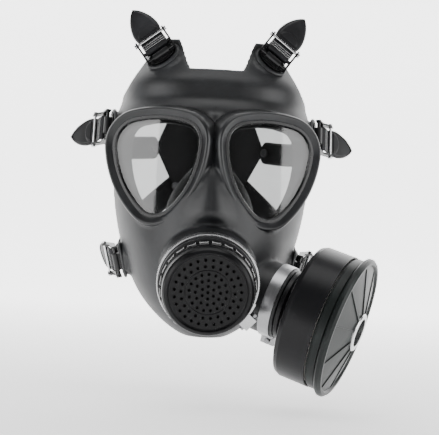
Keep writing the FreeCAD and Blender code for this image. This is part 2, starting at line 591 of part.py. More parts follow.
def build_canister():
    port = port_placement()
    neck = turned([(NECK_BORE, NECK_END), (THREAD_CORE - 0.5, NECK_END), (THREAD_CORE, NECK_END + 0.8),
                   (THREAD_CORE, PORT_MOUTH + 0.4), (22.0, PORT_MOUTH + 0.6), (22.0, CAN_BACK - SMALL_GAP),
                   (17.8, CAN_BACK - SMALL_GAP), (17.8, CAN_BACK + CAN_WALL + 1.4),
                   (NECK_BORE, CAN_BACK + CAN_WALL + 1.4)])
    ridge = helix_ridge(THREAD_CORE, THREAD_MAJOR, THREAD_ROOT, THREAD_CREST, THREAD_START, THREAD_TURNS)
    save("canister_neck", placed(neck.fuse(ridge).removeSplitter(), port))

    inner = CAN_R - CAN_WALL
    edge = CAN_EDGE
    shell = turned([(18.0, CAN_BACK), (CAN_R - edge, CAN_BACK), (CAN_R - 0.3 * edge, CAN_BACK + 0.3 * edge),
                    (CAN_R, CAN_BACK + edge), (CAN_R, CAN_BODY_END), (inner, CAN_BODY_END),
                    (inner, CAN_BACK + edge + 0.4),
                    (inner - 0.3 * edge, CAN_BACK + 0.3 * edge + CAN_WALL), (CAN_R - edge, CAN_BACK + CAN_WALL),
                    (18.0, CAN_BACK + CAN_WALL)])
    save("canister_shell", placed(shell, port))
    grid_r = inner - 1.2
    save("outlet_grid", placed(perforated_disc(grid_r, BED_A - 1.2, BED_A - SMALL_GAP, 7.0, 1.4), port))
    save("carbon_bed", placed(Part.makeCylinder(grid_r, BED_B - BED_A, V(0, 0, BED_A)), port))
    save("bed_grid", placed(perforated_disc(grid_r, BED_B + SMALL_GAP, BED_B + 1.2, 7.0, 1.4), port))

    filter_r = CAP_INNER_R - RUN_GAP
    count = int(2 * (filter_r - 3) / PLEAT_STEP)
    low_line, high_line = [], []
    for k in range(2 * count + 1):
        x = (k - count) * PLEAT_STEP / 2
        a = PLEAT_A + 0.6 if k % 2 == 0 else PLEAT_B - 0.6 - PLEAT_WALL
        low_line.append(V(x, -filter_r, a))
        high_line.append(V(x, -filter_r, a + PLEAT_WALL))
    outline = low_line + high_line[::-1]
    pleats = Part.Face(Part.makePolygon(outline + outline[:1])).extrude(V(0, 2 * filter_r, 0))
    pleats = pleats.common(Part.makeCylinder(filter_r - 1.5, PLEAT_B, V(0, 0, 0)))
    frame = tube(filter_r, filter_r - 2.0, PLEAT_A, PLEAT_B)
    save("particle_filter", placed(fused([frame, pleats]), port))

    cap_skin = turned([(INLET_R + 2.2, CAP_HUB_A - 2.4), (CAP_INNER_R, CAP_RIM_A + 2.4),
                       (CAP_INNER_R, CAN_BODY_END + 0.4), (CAN_R - 1.6, CAN_BODY_END + 0.4),
                       (CAN_R - 1.6, CAN_BODY_END + 1.6), (CAP_BAND_R, CAN_BODY_END + 2.2),
                       (CAP_BAND_R, CAP_RIM_A - 1.2), (CAP_BAND_R - 1.4, CAP_RIM_A - 0.6), (CAP_BAND_R - 1.4, CAP_RIM_A),
                       (CAP_RIM_R - 1.6, CAP_RIM_A), (CAP_RIM_R, CAP_RIM_A + 1.6), (CAP_RIM_R, CAP_RIM_B - 2.0),
                       (CAP_RIM_R - 1.8, CAP_RIM_B), (CAP_RIM_R - 4.0, CAP_RIM_B), (CAP_RIM_R - 5.2, CAP_RIM_A + 4.4),
                       (CAP_HUB_R + 0.4, CAP_HUB_A), (INLET_R + 2.2, CAP_HUB_A)])
    ribs = []
    for k in range(CAP_RIBS):
        slope = [V(CAP_HUB_R + GAP, -0.7, CAP_HUB_A - 1.0), V(51.5, -0.7, CAP_RIM_A + 3.4),
                 V(51.5, -0.7, CAP_RIM_A + 5.2), V(CAP_HUB_R + GAP, -0.7, CAP_HUB_A + 0.9)]
        rib = Part.Face(Part.makePolygon(slope + slope[:1])).extrude(V(0, 1.4, 0))
        rib.rotate(V(0, 0, 0), V(0, 0, 1), 360 / CAP_RIBS * k + 12)
        ribs.append(rib)
    save("canister_cap", placed(fused([cap_skin] + ribs), port))
    inlet = turned([(INLET_R, CAP_HUB_A - 3.4), (INLET_R + 2.0, CAP_HUB_A - 3.4), (INLET_R + 2.0, CAP_HUB_A + GAP),
                    (CAP_HUB_R, CAP_HUB_A + GAP), (CAP_HUB_R, CAP_HUB_A + 1.2), (CAP_HUB_R - 0.8, CAP_HUB_A + 2.0),
                    (INLET_R, CAP_HUB_A + 2.0)])
    save("inlet_ring", placed(inlet, port))
    direction = port.Rotation.multVec(V(0, 0, 1))
    inlet_at = port.multVec(V(0, 0, CAP_HUB_A))
    print("  port axis", [round(c, 5) for c in direction], "inlet", [round(c, 4) for c in inlet_at])


# ---------------------------------------------------------------- nose cup
def build_nose_cup():
    outside = face_block(0.0, 0.0, 0.0, CUP_SECTIONS)
    inside = face_block(CUP_WALL, CUP_WALL, 10.0, CUP_SECTIONS)
    rear = [V(0, y, z) for y, z in CUP_REAR_EDGE]
    curve = Part.BSplineCurve()
    curve.interpolate(rear)
    low, high = V(0, FAR_FRONT, rear[0].z), V(0, FAR_FRONT, rear[-1].z)
    wire = Part.Wire([curve.toShape(), Part.makeLine(rear[-1], high), Part.makeLine(high, low),
                      Part.makeLine(low, rear[0])])
    keep = placed(Part.Face(wire).extrude(V(200, 0, 0)), FreeCAD.Placement(V(-100, 0, 0), FreeCAD.Rotation()))
    cup = outside.cut(inside).common(keep)
    front = front_placement()
    collar = placed(Part.makeCylinder(CUP_COLLAR_R, 17, V(0, 0, -21)), front).cut(inside)
    cup = cup.fuse(collar).cut(placed(Part.makeCylinder(CUP_COLLAR_R - 2.2, 60, V(0, 0, -40)), front))
    valve_axis = cup_valve_placement()
    bore = Part.makeCylinder(CUP_SEAT_R + GAP, 30, V(0, 0, -15))
    spot = Part.makeCylinder(CUP_FLANGE_R + GAP, 15, V(0, 0, CUP_FLANGE_LOW - SMALL_GAP))
    for side in both(placed(bore, valve_axis)) + both(placed(spot, valve_axis)):
        cup = cup.cut(side)
    save("nose_cup", max(cup.Solids, key=lambda s: s.Volume))

    ring = turned([(5.6, -2.6), (CUP_SEAT_R, -2.6), (CUP_SEAT_R, CUP_FLANGE_LOW), (CUP_FLANGE_R, CUP_FLANGE_LOW),
                   (CUP_FLANGE_R, CUP_FLANGE_HIGH), (5.6, CUP_FLANGE_HIGH)])
    boss = tube(2.4, 1.1, -1.4, 0.4)
    arms = []
    for k in range(3):
        arm = block((1.8, -0.8, -1.4), (6.2, 0.8, 0.4))
        arm.rotate(V(0, 0, 0), V(0, 0, 1), 120 * k)
        arms.append(arm)
    seat = placed(fused([ring, boss] + arms), valve_axis)
    flap = placed(turned([(0, -3.6), (7.0, -3.3), (7.0, -2.7), (2.0, -2.7), (1.0, -1.5), (1.0, 1.6), (0, 2.2)]),
                  valve_axis)
    flap_axis = valve_axis.Rotation.multVec(V(0, 0, 1))
    for pick, side in enumerate(("left", "right")):
        save(f"cup_valve_seat_{side}", both(seat)[pick])
        save(f"cup_valve_flap_{side}", both(flap)[pick])
    print("  cup valve axis", [round(c, 5) for c in flap_axis])


def cup_valve_placement():
    """The cup's valves sit on its flanks; local z points out of the cup."""
    return axis_placement(CUP_VALVE, CUP_VALVE_AXIS)


# ---------------------------------------------------------------- harness
def build_buckles():
    lugs = []
    for kind in STRAPS:
        for side in SIDES:
            place = strap_placement(kind, side)
            foot = Part.makeCylinder(LUG_WIDE, LUG_FOOT, V(0, 0, SMALL_GAP))
            stretch = FreeCAD.Matrix()
            stretch.scale(LUG_LONG / LUG_WIDE, 1, 1)
            foot = foot.transformGeometry(stretch)
            web = block((-LUG_BARREL_HALF, PIN_Y - 2.4, 1.0), (LUG_BARREL_HALF, PIN_Y + 2.4, PIN_Z))
            barrel = rod(LUG_BARREL_R, (-LUG_BARREL_HALF, PIN_Y, PIN_Z), (LUG_BARREL_HALF, PIN_Y, PIN_Z))
            lug = fused([foot, web, barrel]).cut(rod(PIN_R + SMALL_GAP, (-20, PIN_Y, PIN_Z), (20, PIN_Y, PIN_Z)))
            lugs.append(placed(lug, place))

            outer = BUCKLE_HALF + ARM_THICK
            arms = []
            for sign in (-1, 1):
                path = [V(0, PIN_Y - 2.4, PIN_Z - 2.0), V(0, BAR_Y, BAR_Z - 2.6), V(0, WIRE_Y + 2.2, WIRE_Z - 1.6),
                        V(0, WIRE_Y + 2.2, WIRE_Z + 2.0), V(0, WIRE_Y - 2.6, WIRE_Z + 2.0), V(0, BAR_Y - 1.5, BAR_Z + 2.4),
                        V(0, PIN_Y - 2.4, PIN_Z + 2.2)]
                plate = Part.Face(Part.makePolygon(path + path[:1])).extrude(V(ARM_THICK, 0, 0))
                plate.translate(V(BUCKLE_HALF if sign > 0 else -outer, 0, 0))
                arms.append(plate)
            pin = rod(PIN_R, (-outer, PIN_Y, PIN_Z), (outer, PIN_Y, PIN_Z))
            bar = rod(BAR_R, (-BUCKLE_HALF - 0.5, BAR_Y, BAR_Z), (BUCKLE_HALF + 0.5, BAR_Y, BAR_Z))
            frame = fused(arms + [pin, bar])
            frame = frame.cut(rod(WIRE_R + SMALL_GAP, (-20, WIRE_Y, WIRE_Z), (20, WIRE_Y, WIRE_Z)))
            save(f"buckle_{kind}_{side}", placed(frame, place))
            wire = fused([rod(WIRE_R, (-outer - 1.6, WIRE_Y, WIRE_Z), (outer + 1.6, WIRE_Y, WIRE_Z)),
                          rod(WIRE_R + 0.7, (-outer - 1.6, WIRE_Y, WIRE_Z), (-outer - GAP, WIRE_Y, WIRE_Z)),
                          rod(WIRE_R + 0.7, (outer + GAP, WIRE_Y, WIRE_Z), (outer + 1.6, WIRE_Y, WIRE_Z))])
            save(f"buckle_wire_{kind}_{side}", placed(wire, place))
            pivot = place.multVec(V(0, PIN_Y, PIN_Z))
            direction = place.Rotation.multVec(V(1, 0, 0))
            print("  hinge", kind, side, [round(c, 4) for c in pivot], [round(c, 5) for c in direction])
    save("buckle_lugs", Part.makeCompound(lugs))


def head_point(direction, lift):
    """Point on the head form in that direction from its centre, lifted off it, and the outward normal there."""
    d = V(*direction)
    a, b, c = HEAD_SIZE
    scale = 1 / math.sqrt((d.x / a) ** 2 + (d.y / b) ** 2 + (d.z / c) ** 2)
    point = d * scale
    normal = V(point.x / a ** 2, point.y / b ** 2, point.z / c ** 2).normalize()
    return V(*HEAD_CENTRE) + point + normal * lift, normal


def pad_corner(kind, side):
    half, height = {"top": PAD_TOP, "temple": PAD_MIDDLE, "cheek": PAD_BOTTOM}[kind]
    x, z = half * SIDES[side], height - HEAD_CENTRE[2]
    a, b, c = HEAD_SIZE
    return V(x, b * math.sqrt(1 - (x / a) ** 2 - (z / c) ** 2), z)


def strap_course(kind, side):
    """The strap over the head: a function of the share of the way to the pad, giving a point and its normal."""
    place = strap_placement(kind, side)
    start = place.multVec(V(0, WIRE_Y + 4.0, 1.6))
    begin = start - V(*HEAD_CENTRE)
    bend = (begin + place.Rotation.multVec(V(0, 1, 0)) * STRAP_LEAD).normalize()
    end = pad_corner(kind, side).normalize()
    ground, _ = head_point(tuple(begin), 0.0)
    begin.normalize()
    stand_off = start - ground
    normal = place.Rotation.multVec(V(0, 0, 1))
    pad_lift = PAD_LIFT + PAD_THICK + GAP + STRAP_THICK / 2

    def at(share):
        towards = begin * (1 - share) ** 2 + bend * (2 * share * (1 - share)) + end * share ** 2
        climb = min(1.0, max(0.0, (share - 0.4) / 0.3))
        keep = (1 - share) ** 3
        lift = STRAP_LIFT + (pad_lift - STRAP_LIFT) * climb
        point, out = head_point(tuple(towards), lift * (1 - keep))
        return point + stand_off * keep, (normal * keep + out * (1 - keep)).normalize()

    return start, at


def strap_path(kind, side):
    """Centre line of a strap from its buckle bar to the pad: points, outward normals and directions."""
    place = strap_placement(kind, side)
    normal = place.Rotation.multVec(V(0, 0, 1))
    start, course = strap_course(kind, side)
    under_bar = place.multVec(V(0, BAR_Y, BAR_Z - BAR_R - GAP - STRAP_THICK / 2))
    path = [(under_bar, normal, (start - under_bar).normalize())]
    for k in range(STRAP_STEPS + 1):
        share = k / STRAP_STEPS
        point, out = course(share)
        ahead, behind = course(min(1.0, share + 0.01))[0], course(max(0.0, share - 0.01))[0]
        path.append((point, out, (ahead - behind).normalize()))
    return path


def strap_section(point, normal, along, width, thick):
    across = along.cross(normal).normalize()
    out = across.cross(along).normalize()
    corners = [point + across * (sx * width / 2) + out * (sz * thick / 2) for sx, sz in
               ((-1, -1), (1, -1), (1, 1), (-1, 1))]
    return Part.makePolygon(corners + corners[:1])


def strap_tail():
    """Leaf-shaped pull tab in local coordinates: x across, y along, z outwards, starting at the origin."""
    half = TAIL_WIDTH / 2
    nose = 5.0
    right = Part.BSplineCurve()
    right.interpolate([V(half * 0.86, 0, 0), V(half, TAIL_LENGTH * 0.22, 0), V(half * 0.78, TAIL_LENGTH * 0.62, 0),
                       V(nose * 0.5, TAIL_LENGTH * 0.97, 0)])
    left = Part.BSplineCurve()
    left.interpolate([V(-nose * 0.5, TAIL_LENGTH * 0.97, 0), V(-half * 0.78, TAIL_LENGTH * 0.62, 0),
                      V(-half, TAIL_LENGTH * 0.22, 0), V(-half * 0.86, 0, 0)])
    tip = Part.Arc(V(nose * 0.5, TAIL_LENGTH * 0.97, 0), V(0, TAIL_LENGTH, 0), V(-nose * 0.5, TAIL_LENGTH * 0.97, 0))
    wire = Part.Wire([right.toShape(), tip.toShape(), left.toShape(),
                      Part.makeLine(V(-half * 0.86, 0, 0), V(half * 0.86, 0, 0))])
    leaf = Part.Face(wire).extrude(V(0, 0, STRAP_THICK))
    leaf.translate(V(0, 0, -STRAP_THICK / 2))
    bump = Part.makeCylinder(9.0, STRAP_WIDTH - 4, V(-(STRAP_WIDTH - 4) / 2, 9.5, -6.2), V(1, 0, 0))
    bump = bump.common(block((-20, 0, 0), (20, 30, 10)))
    return fused([leaf, bump])


def build_straps():
    pad_rivets = []
    holes = []
    for kind in STRAPS:
        for side in SIDES:
            place = strap_placement(kind, side)
            wires = [strap_section(point, normal, along, STRAP_WIDTH, STRAP_THICK)
                     for point, normal, along in strap_path(kind, side)]
            run = Part.makeLoft(wires, True, False)
            loop_r = BAR_R + GAP + STRAP_THICK / 2
            bend = tube(loop_r + STRAP_THICK / 2, loop_r - STRAP_THICK / 2, -STRAP_WIDTH / 2, STRAP_WIDTH / 2)
            bend = placed(bend, axis_placement((0, BAR_Y, BAR_Z), (1, 0, 0), (0, 1, 0)))
            bend = bend.cut(block((-20, BAR_Y, BAR_Z - 10), (20, BAR_Y + 10, BAR_Z + 10)))
            over_start = V(0, BAR_Y, BAR_Z + loop_r)
            reach = WIRE_R + GAP + STRAP_THICK / 2
            under_wire = V(0, WIRE_Y, WIRE_Z - reach)
            slope = math.degrees(math.atan2(under_wire.z - over_start.z, under_wire.y - over_start.y))
            length = (under_wire - over_start).Length + 1.0
            over = block((-STRAP_WIDTH / 2, 0, -STRAP_THICK / 2), (STRAP_WIDTH / 2, length, STRAP_THICK / 2))
            over = placed(over, FreeCAD.Placement(over_start, FreeCAD.Rotation(V(1, 0, 0), slope)))
            lean = math.radians(STRAPS[kind]["tail"])
            tail_start = V(0, WIRE_Y + reach * math.sin(lean), WIRE_Z - reach * math.cos(lean))
            turn = FreeCAD.Rotation(V(1, 0, 0), STRAPS[kind]["tail"])
            knee = Part.makeCylinder(STRAP_THICK / 2, STRAP_WIDTH, under_wire - V(STRAP_WIDTH / 2, 0, 0), V(1, 0, 0))
            tail = placed(strap_tail(), FreeCAD.Placement(tail_start, turn))
            strap = fused([placed(fused([bend, over, knee, tail]), place), run])
            rivet_at, out = strap_course(kind, side)[1](RIVET_SHARE)
            top = STRAP_THICK / 2 + 2 * GAP
            bottom = -STRAP_THICK / 2 - 2 * GAP - PAD_THICK
            holes.append(Part.makeCylinder(RIVET_R + SMALL_GAP, 24, rivet_at - out * 12, out))
            stud = Part.makeCylinder(RIVET_R, top - bottom + 1.0, rivet_at + out * (bottom - 0.5), out)
            head = Part.makeCylinder(RIVET_R * 2, 1.2, rivet_at + out * top, out)
            foot = Part.makeCylinder(RIVET_R * 2, 1.2, rivet_at + out * (bottom - 1.2), out)
            pad_rivets.append(fused([stud, head, foot]))
            save(f"strap_{kind}_{side}", strap.cut(holes[-1]))

    centre = V(*HEAD_CENTRE)

    def head_form(lift):
        ball = Part.makeSphere(1.0)
        stretch = FreeCAD.Matrix()
        stretch.scale(*[s + lift for s in HEAD_SIZE])
        ball = ball.transformGeometry(stretch)
        ball.translate(centre)
        return ball

    outline = [PAD_TOP, PAD_MIDDLE, PAD_BOTTOM]
    corners = [V(x + PAD_MARGIN, 0, z) for x, z in outline]
    corners[0].z += PAD_END
    corners[-1].z -= PAD_END
    corners += [V(-corner.x, 0, corner.z) for corner in reversed(corners)]
    wire = Part.makePolygon(corners + corners[:1])
    prism = Part.Face(wire).extrude(V(0, 100, 0))
    prism.translate(V(0, HEAD_CENTRE[1] + 30, 0))
    pad = head_form(PAD_LIFT + PAD_THICK).cut(head_form(PAD_LIFT)).common(prism)
    save("head_pad", pad.cut(holes))
    save("pad_rivets", Part.makeCompound(pad_rivets))


def main():
    os.makedirs("parts", exist_ok=True)
    save("facepiece", build_facepiece())
    build_eyepieces()
    build_front_unit()
    build_side_port()
    build_canister()
    build_nose_cup()
    build_buckles()
    build_straps()


main()
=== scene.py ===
import json
import math

import bmesh
import bpy
import numpy as np
from bpy.props import FloatProperty, FloatVectorProperty, IntProperty, PointerProperty
from mathutils import Matrix, Vector


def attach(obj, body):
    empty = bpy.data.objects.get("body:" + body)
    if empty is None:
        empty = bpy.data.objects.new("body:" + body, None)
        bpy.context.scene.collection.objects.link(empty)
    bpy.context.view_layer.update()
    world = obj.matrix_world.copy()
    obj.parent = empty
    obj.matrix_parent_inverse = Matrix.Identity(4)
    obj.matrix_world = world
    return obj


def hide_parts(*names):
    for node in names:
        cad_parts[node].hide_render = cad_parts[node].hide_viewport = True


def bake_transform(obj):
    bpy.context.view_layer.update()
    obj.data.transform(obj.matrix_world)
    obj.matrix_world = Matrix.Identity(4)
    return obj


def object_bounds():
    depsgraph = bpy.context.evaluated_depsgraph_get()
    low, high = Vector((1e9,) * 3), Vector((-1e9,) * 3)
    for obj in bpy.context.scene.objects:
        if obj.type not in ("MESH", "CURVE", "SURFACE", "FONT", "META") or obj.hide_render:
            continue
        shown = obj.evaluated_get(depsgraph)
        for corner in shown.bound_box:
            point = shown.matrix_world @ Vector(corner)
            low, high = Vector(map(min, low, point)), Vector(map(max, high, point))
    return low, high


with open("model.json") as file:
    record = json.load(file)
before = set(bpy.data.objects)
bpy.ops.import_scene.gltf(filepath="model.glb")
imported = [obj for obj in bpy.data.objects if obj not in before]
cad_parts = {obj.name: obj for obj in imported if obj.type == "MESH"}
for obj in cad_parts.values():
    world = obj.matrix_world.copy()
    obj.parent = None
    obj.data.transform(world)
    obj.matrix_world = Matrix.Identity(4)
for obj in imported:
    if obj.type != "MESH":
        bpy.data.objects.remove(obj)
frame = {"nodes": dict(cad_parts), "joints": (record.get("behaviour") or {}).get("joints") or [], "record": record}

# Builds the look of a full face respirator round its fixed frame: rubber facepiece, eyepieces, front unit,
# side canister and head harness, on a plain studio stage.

bl_info = {
    "name": "Full Face Respirator",
    "version": (1, 0, 0),
    "blender": (4, 5, 0),
    "location": "View3D > Sidebar > Respirator",
    "description": "Builds the pieces, finishes and stage of a full face respirator",
    "category": "Object",
}

MM = 0.001
CAD_BOX = [list(corner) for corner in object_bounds()]
JOINTS = {joint["name"]: joint for joint in frame["joints"]}
SLOT_OF = {part["node"]: part["material_slot"] for part in frame["record"]["subparts"]}
FACE_BODY = "facepiece_body"
SIDES = {"left": 1.0, "right": -1.0}

# Each strap on the wearer's left: centre of its lug, outward normal there, and the way the strap leaves
STRAPS = {
    "top": {"lug": (44.5, -19.0, 117.0), "normal": (0.46, -0.72, 0.52), "run": (0.40, 0.67, 0.62)},
    "temple": {"lug": (84.3, -3.0, 58.0), "normal": (0.955, -0.28, 0.08), "run": (0.41, 0.88, -0.22)},
    "cheek": {"lug": (70.6, -6.0, -53.0), "normal": (0.965, -0.08, -0.25), "run": (0.18, 0.96, 0.20)},
}
TAB_LEAN = {"top": 24.0, "temple": 32.0, "cheek": 14.0}      # degrees away from the head
PAD_CORNERS = {"top": (26.0, 86.0), "temple": (44.0, 50.0), "cheek": (24.0, 20.0)}
HEAD_CENTRE = Vector((0.0, 46.0, 48.0))
HEAD_SIZE = (77.0, 98.0, 103.0)
BAR = Vector((0.0, 7.2, 6.2))        # the buckle's bar and wire, across, along and away from the head
WIRE = Vector((0.0, 15.0, 12.2))
BAR_R, WIRE_R = 1.5, 1.1
FIT = 0.2
LOOP_SHARE = 0.65                    # how far the strap thins where it bends round the bar
RIB_PITCH, RIB_CLIMB = 2.1, 0.3      # from one strap rib to the next, along and away from the head
LUG_RING = (13.6, 9.8)               # half length and half width of the oval bead round a lug
LUG_RING_R = 1.9
LUG_RING_RISE = 0.15

# Eyepiece outline in the plane of the lens: three corner circles (across, up, radius) and three side arcs
EYE_CENTRE = (44.5, -62.5, 24.0)
EYE_YAW = 22.0
EYE_CORNERS = [(-20.5, 21.2, 14.8), (16.8, 16.2, 20.3), (1.2, -20.8, 17.2)]
EYE_SIDES = (95.0, 75.0, 75.0)


# ---------------------------------------------------------------- settings
class FaceSettings(bpy.types.PropertyGroup):
    cell: FloatProperty(name="Rubber cell", description="Cell size of the moulded rubber surface",
                        default=0.0015, unit="LENGTH")
    ridge: FloatProperty(name="Nose ridge", description="Height of the ridge down the nose", default=0.0042,
                         unit="LENGTH")
    hollow: FloatProperty(name="Nose hollow", description="Depth of the hollow above the collar",
                          default=0.003, unit="LENGTH")
    recess: FloatProperty(name="Bridge recess", description="Depth of the recess between the eyepiece rims",
                          default=0.0045, unit="LENGTH")
    brow: FloatProperty(name="Brow", description="Height of the brow over the recess", default=0.0022,
                        unit="LENGTH")
    rim_crown: FloatProperty(name="Rim crown", description="Share of the full height of each rim's crest",
                             default=1.0, subtype="FACTOR")
    colour: FloatVectorProperty(name="Rubber colour", description="Colour of the facepiece rubber",
                                subtype="COLOR", size=3, default=(0.0065, 0.007, 0.008))
    roughness: FloatProperty(name="Rubber roughness", description="Roughness of the facepiece rubber",
                             default=0.42)


class HarnessSettings(bpy.types.PropertyGroup):
    width: FloatProperty(name="Strap width", description="Width of each strap", default=0.021, unit="LENGTH")
    thickness: FloatProperty(name="Strap thickness", description="Thickness of each strap", default=0.002,
                             unit="LENGTH")
    tail_width: FloatProperty(name="Tab width", description="Width of each pull tab", default=0.024,
                              unit="LENGTH")
    tail_length: FloatProperty(name="Tab length", description="Length of each pull tab", default=0.033,
                               unit="LENGTH")
    ribs: IntProperty(name="Strap ribs", description="Ribs across the strap inside each buckle", default=3)
    colour: FloatVectorProperty(name="Strap colour", description="Colour of the strap rubber",
                                subtype="COLOR", size=3, default=(0.006, 0.006, 0.007))


class CanisterSettings(bpy.types.PropertyGroup):
    paint: FloatVectorProperty(name="Shell paint", description="Colour of the canister shell",
                               subtype="COLOR", size=3, default=(0.004, 0.004, 0.005))
    cap: FloatVectorProperty(name="Cap paint", description="Colour of the canister cap",
                             subtype="COLOR", size=3, default=(0.007, 0.0095, 0.009))
    teeth: IntProperty(name="Band slots", description="Screw slots along each clamp band", default=22)


class StageSettings(bpy.types.PropertyGroup):
    floor_drop: FloatProperty(name="Floor drop", description="Height of the respirator above the floor",
                              default=0.012, unit="LENGTH")
    distance: FloatProperty(name="Camera distance", description="Camera to the plane of the lenses",
                            default=0.95, unit="LENGTH")
    softbox: FloatProperty(name="Softbox power", description="Power of each side softbox", default=15.0,
                           unit="POWER")
    lens: FloatProperty(name="Focal length", description="Focal length of the camera in millimetres",
                        default=99.2)


# ---------------------------------------------------------------- shader building
class Wire:
    """A shader socket that takes Python arithmetic: each operator adds one Math node."""

    def __init__(self, finish, socket):
        self.finish = finish
        self.socket = socket

    def math(self, operation, first, second):
        return self.finish.math(operation, first, second)

    def __add__(self, other):
        return self.math("ADD", self, other)

    def __sub__(self, other):
        return self.math("SUBTRACT", self, other)

    def __rsub__(self, other):
        return self.math("SUBTRACT", other, self)

    def __mul__(self, other):
        return self.math("MULTIPLY", self, other)

    def __truediv__(self, other):
        return self.math("DIVIDE", self, other)

    def __rtruediv__(self, other):
        return self.math("DIVIDE", other, self)

    def __pow__(self, other):
        return self.math("POWER", self, other)

    def __rpow__(self, other):
        return self.math("POWER", other, self)

    def __abs__(self):
        return self.math("ABSOLUTE", self, 0.0)

    __radd__ = __add__
    __rmul__ = __mul__


class Finish:
    """One material while it is being built."""

    def __init__(self, name):
        self.material = bpy.data.materials.new(name)
        self.material.use_nodes = True
        self.tree = self.material.node_tree
        self.tree.nodes.clear()

    def node(self, kind, settings=None, inputs=(), output=0):
        """Adds a node: its settings first, then the values or links of its sockets."""
        made = self.tree.nodes.new(kind)
        for key, value in (settings or {}).items():
            setattr(made, key, value)
        pairs = inputs.items() if isinstance(inputs, dict) else enumerate(inputs)
        for key, value in pairs:
            if isinstance(value, Wire):
                self.tree.links.new(value.socket, made.inputs[key])
            else:
                made.inputs[key].default_value = value
        return Wire(self, made.outputs[output])

    def math(self, operation, *values):
        return self.node("ShaderNodeMath", {"operation": operation}, values)

    def place(self):
        return self.node("ShaderNodeTexCoord", output="Object")

    def local(self, placement):
        """Object coordinates turned into a piece's own frame."""
        settings = {"vector_type": "TEXTURE"}
        values = {"Vector": self.place(), "Location": placement.translation, "Rotation": placement.to_euler()}
        return self.node("ShaderNodeMapping", settings, values)

    def stretch(self, place, scale):
        return self.node("ShaderNodeMapping", {"vector_type": "POINT"}, {"Vector": place, "Scale": scale})

    def noise(self, place, scale, detail=2.0, roughness=0.5):
        values = {"Vector": place, "Scale": scale, "Detail": detail, "Roughness": roughness}
        return self.node("ShaderNodeTexNoise", None, values)

    def cells(self, place, scale):
        return self.node("ShaderNodeTexVoronoi", None, {"Vector": place, "Scale": scale})

    def span(self, value, low, high, to_low=0.0, to_high=1.0):
        """Maps low..high smoothly to to_low..to_high."""
        settings = {"interpolation_type": "SMOOTHSTEP"}
        return self.node("ShaderNodeMapRange", settings, [value, low, high, to_low, to_high])

    def blend(self, factor, first, second):
        values = {0: factor, 6: (*first, 1.0), 7: (*second, 1.0)}
        return self.node("ShaderNodeMix", {"data_type": "RGBA"}, values, output=2)

    def bump(self, height, depth, normal=None, strength=1.0):
        values = {"Height": height, "Distance": depth, "Strength": strength}
        if normal is not None:
            values["Normal"] = normal
        return self.node("ShaderNodeBump", None, values)

    def rounded(self, radius):
        """Softens the shading of sharp edges, as a moulded or rolled edge does."""
        return self.node("ShaderNodeBevel", {"samples": 4}, {"Radius": radius})

    def surface(self, **values):
        named = {key.replace("_", " "): value for key, value in values.items()}
        shader = self.node("ShaderNodeBsdfPrincipled", None, named)
        leave = self.tree.nodes.new("ShaderNodeOutputMaterial")
        self.tree.links.new(shader.socket, leave.inputs["Surface"])
        return self.material


def lighter(colour, share):
    return tuple(min(1.0, c * share) for c in colour)


def rubber(name, colour, roughness, grain=0.00004, parting=False, dust=2.2, shine=0.5):
    """Moulded rubber: fine grain, faint bloom, slow flow marks, and the mould's parting line."""
    f = Finish(name)
    place = f.place()
    bloom = f.noise(place, 34.0, 4.0, 0.62)
    flow = f.noise(f.stretch(place, (1.0, 1.0, 0.35)), 90.0, 3.0)
    fine = f.noise(place, 1700.0, 2.0)
    pits = f.span(f.cells(place, 420.0), 0.0, 0.12, 1.0, 0.0)
    height = fine * 0.5 + flow * 0.6 - pits * 0.4
    normal = f.bump(height, grain)
    if parting:
        across = f.node("ShaderNodeSeparateXYZ", None, [place])
        line = f.span(abs(across), 0.0001, 0.0004, 1.0, 0.0)
        normal = f.bump(line, 0.00006, normal)
    mask = f.span(bloom, 0.42, 0.72)
    return f.surface(Base_Color=f.blend(mask, colour, lighter(colour, dust)),
                     Roughness=roughness + (bloom - 0.5) * 0.22 + fine * 0.05, Specular_IOR_Level=shine,
                     Normal=normal)


def moulded_plastic(name, colour, roughness, edge=0.00035, texture=0.00003, shine=0.5):
    """Injection-moulded plastic: spark-eroded grain, slight sheen changes and rounded edges."""
    f = Finish(name)
    place = f.place()
    grain = f.noise(place, 2600.0, 3.0)
    haze = f.noise(place, 60.0, 3.0)
    scuff = f.span(f.noise(f.stretch(place, (1.0, 0.2, 1.0)), 500.0, 5.0, 0.7), 0.62, 0.72)
    normal = f.bump(grain, texture, f.rounded(edge))
    return f.surface(Base_Color=f.blend(haze, lighter(colour, 0.85), lighter(colour, 1.35)),
                     Roughness=roughness + (haze - 0.5) * 0.16 + scuff * 0.12, Specular_IOR_Level=shine,
                     Normal=normal)


def brushed_metal(name, colour, roughness, placement=None, edge=0.0002):
    """Brushed steel: streaks that run round the band, darker handling marks, rounded edges."""
    f = Finish(name)
    place = f.local(placement) if placement is not None else f.place()
    axes = f.node("ShaderNodeSeparateXYZ", None, [place])
    up = Wire(f, axes.socket.node.outputs["Z"])
    sideways = Wire(f, axes.socket.node.outputs["Y"])
    angle = f.math("ARCTAN2", sideways, axes)
    around = f.node("ShaderNodeCombineXYZ", None, [angle * 0.5, up * 700.0, 0.0])
    streaks = f.noise(around, 4.0, 3.0, 0.6)
    marks = f.span(f.noise(place, 45.0, 3.0, 0.6), 0.5, 0.8)
    shade = f.span(streaks, 0.3, 0.7)
    return f.surface(Base_Color=f.blend(shade, lighter(colour, 0.88), lighter(colour, 1.04)), Metallic=1.0,
                     Roughness=roughness + (streaks - 0.5) * 0.06 + marks * 0.03,
                     Normal=f.bump(streaks, 0.000002, f.rounded(edge)))


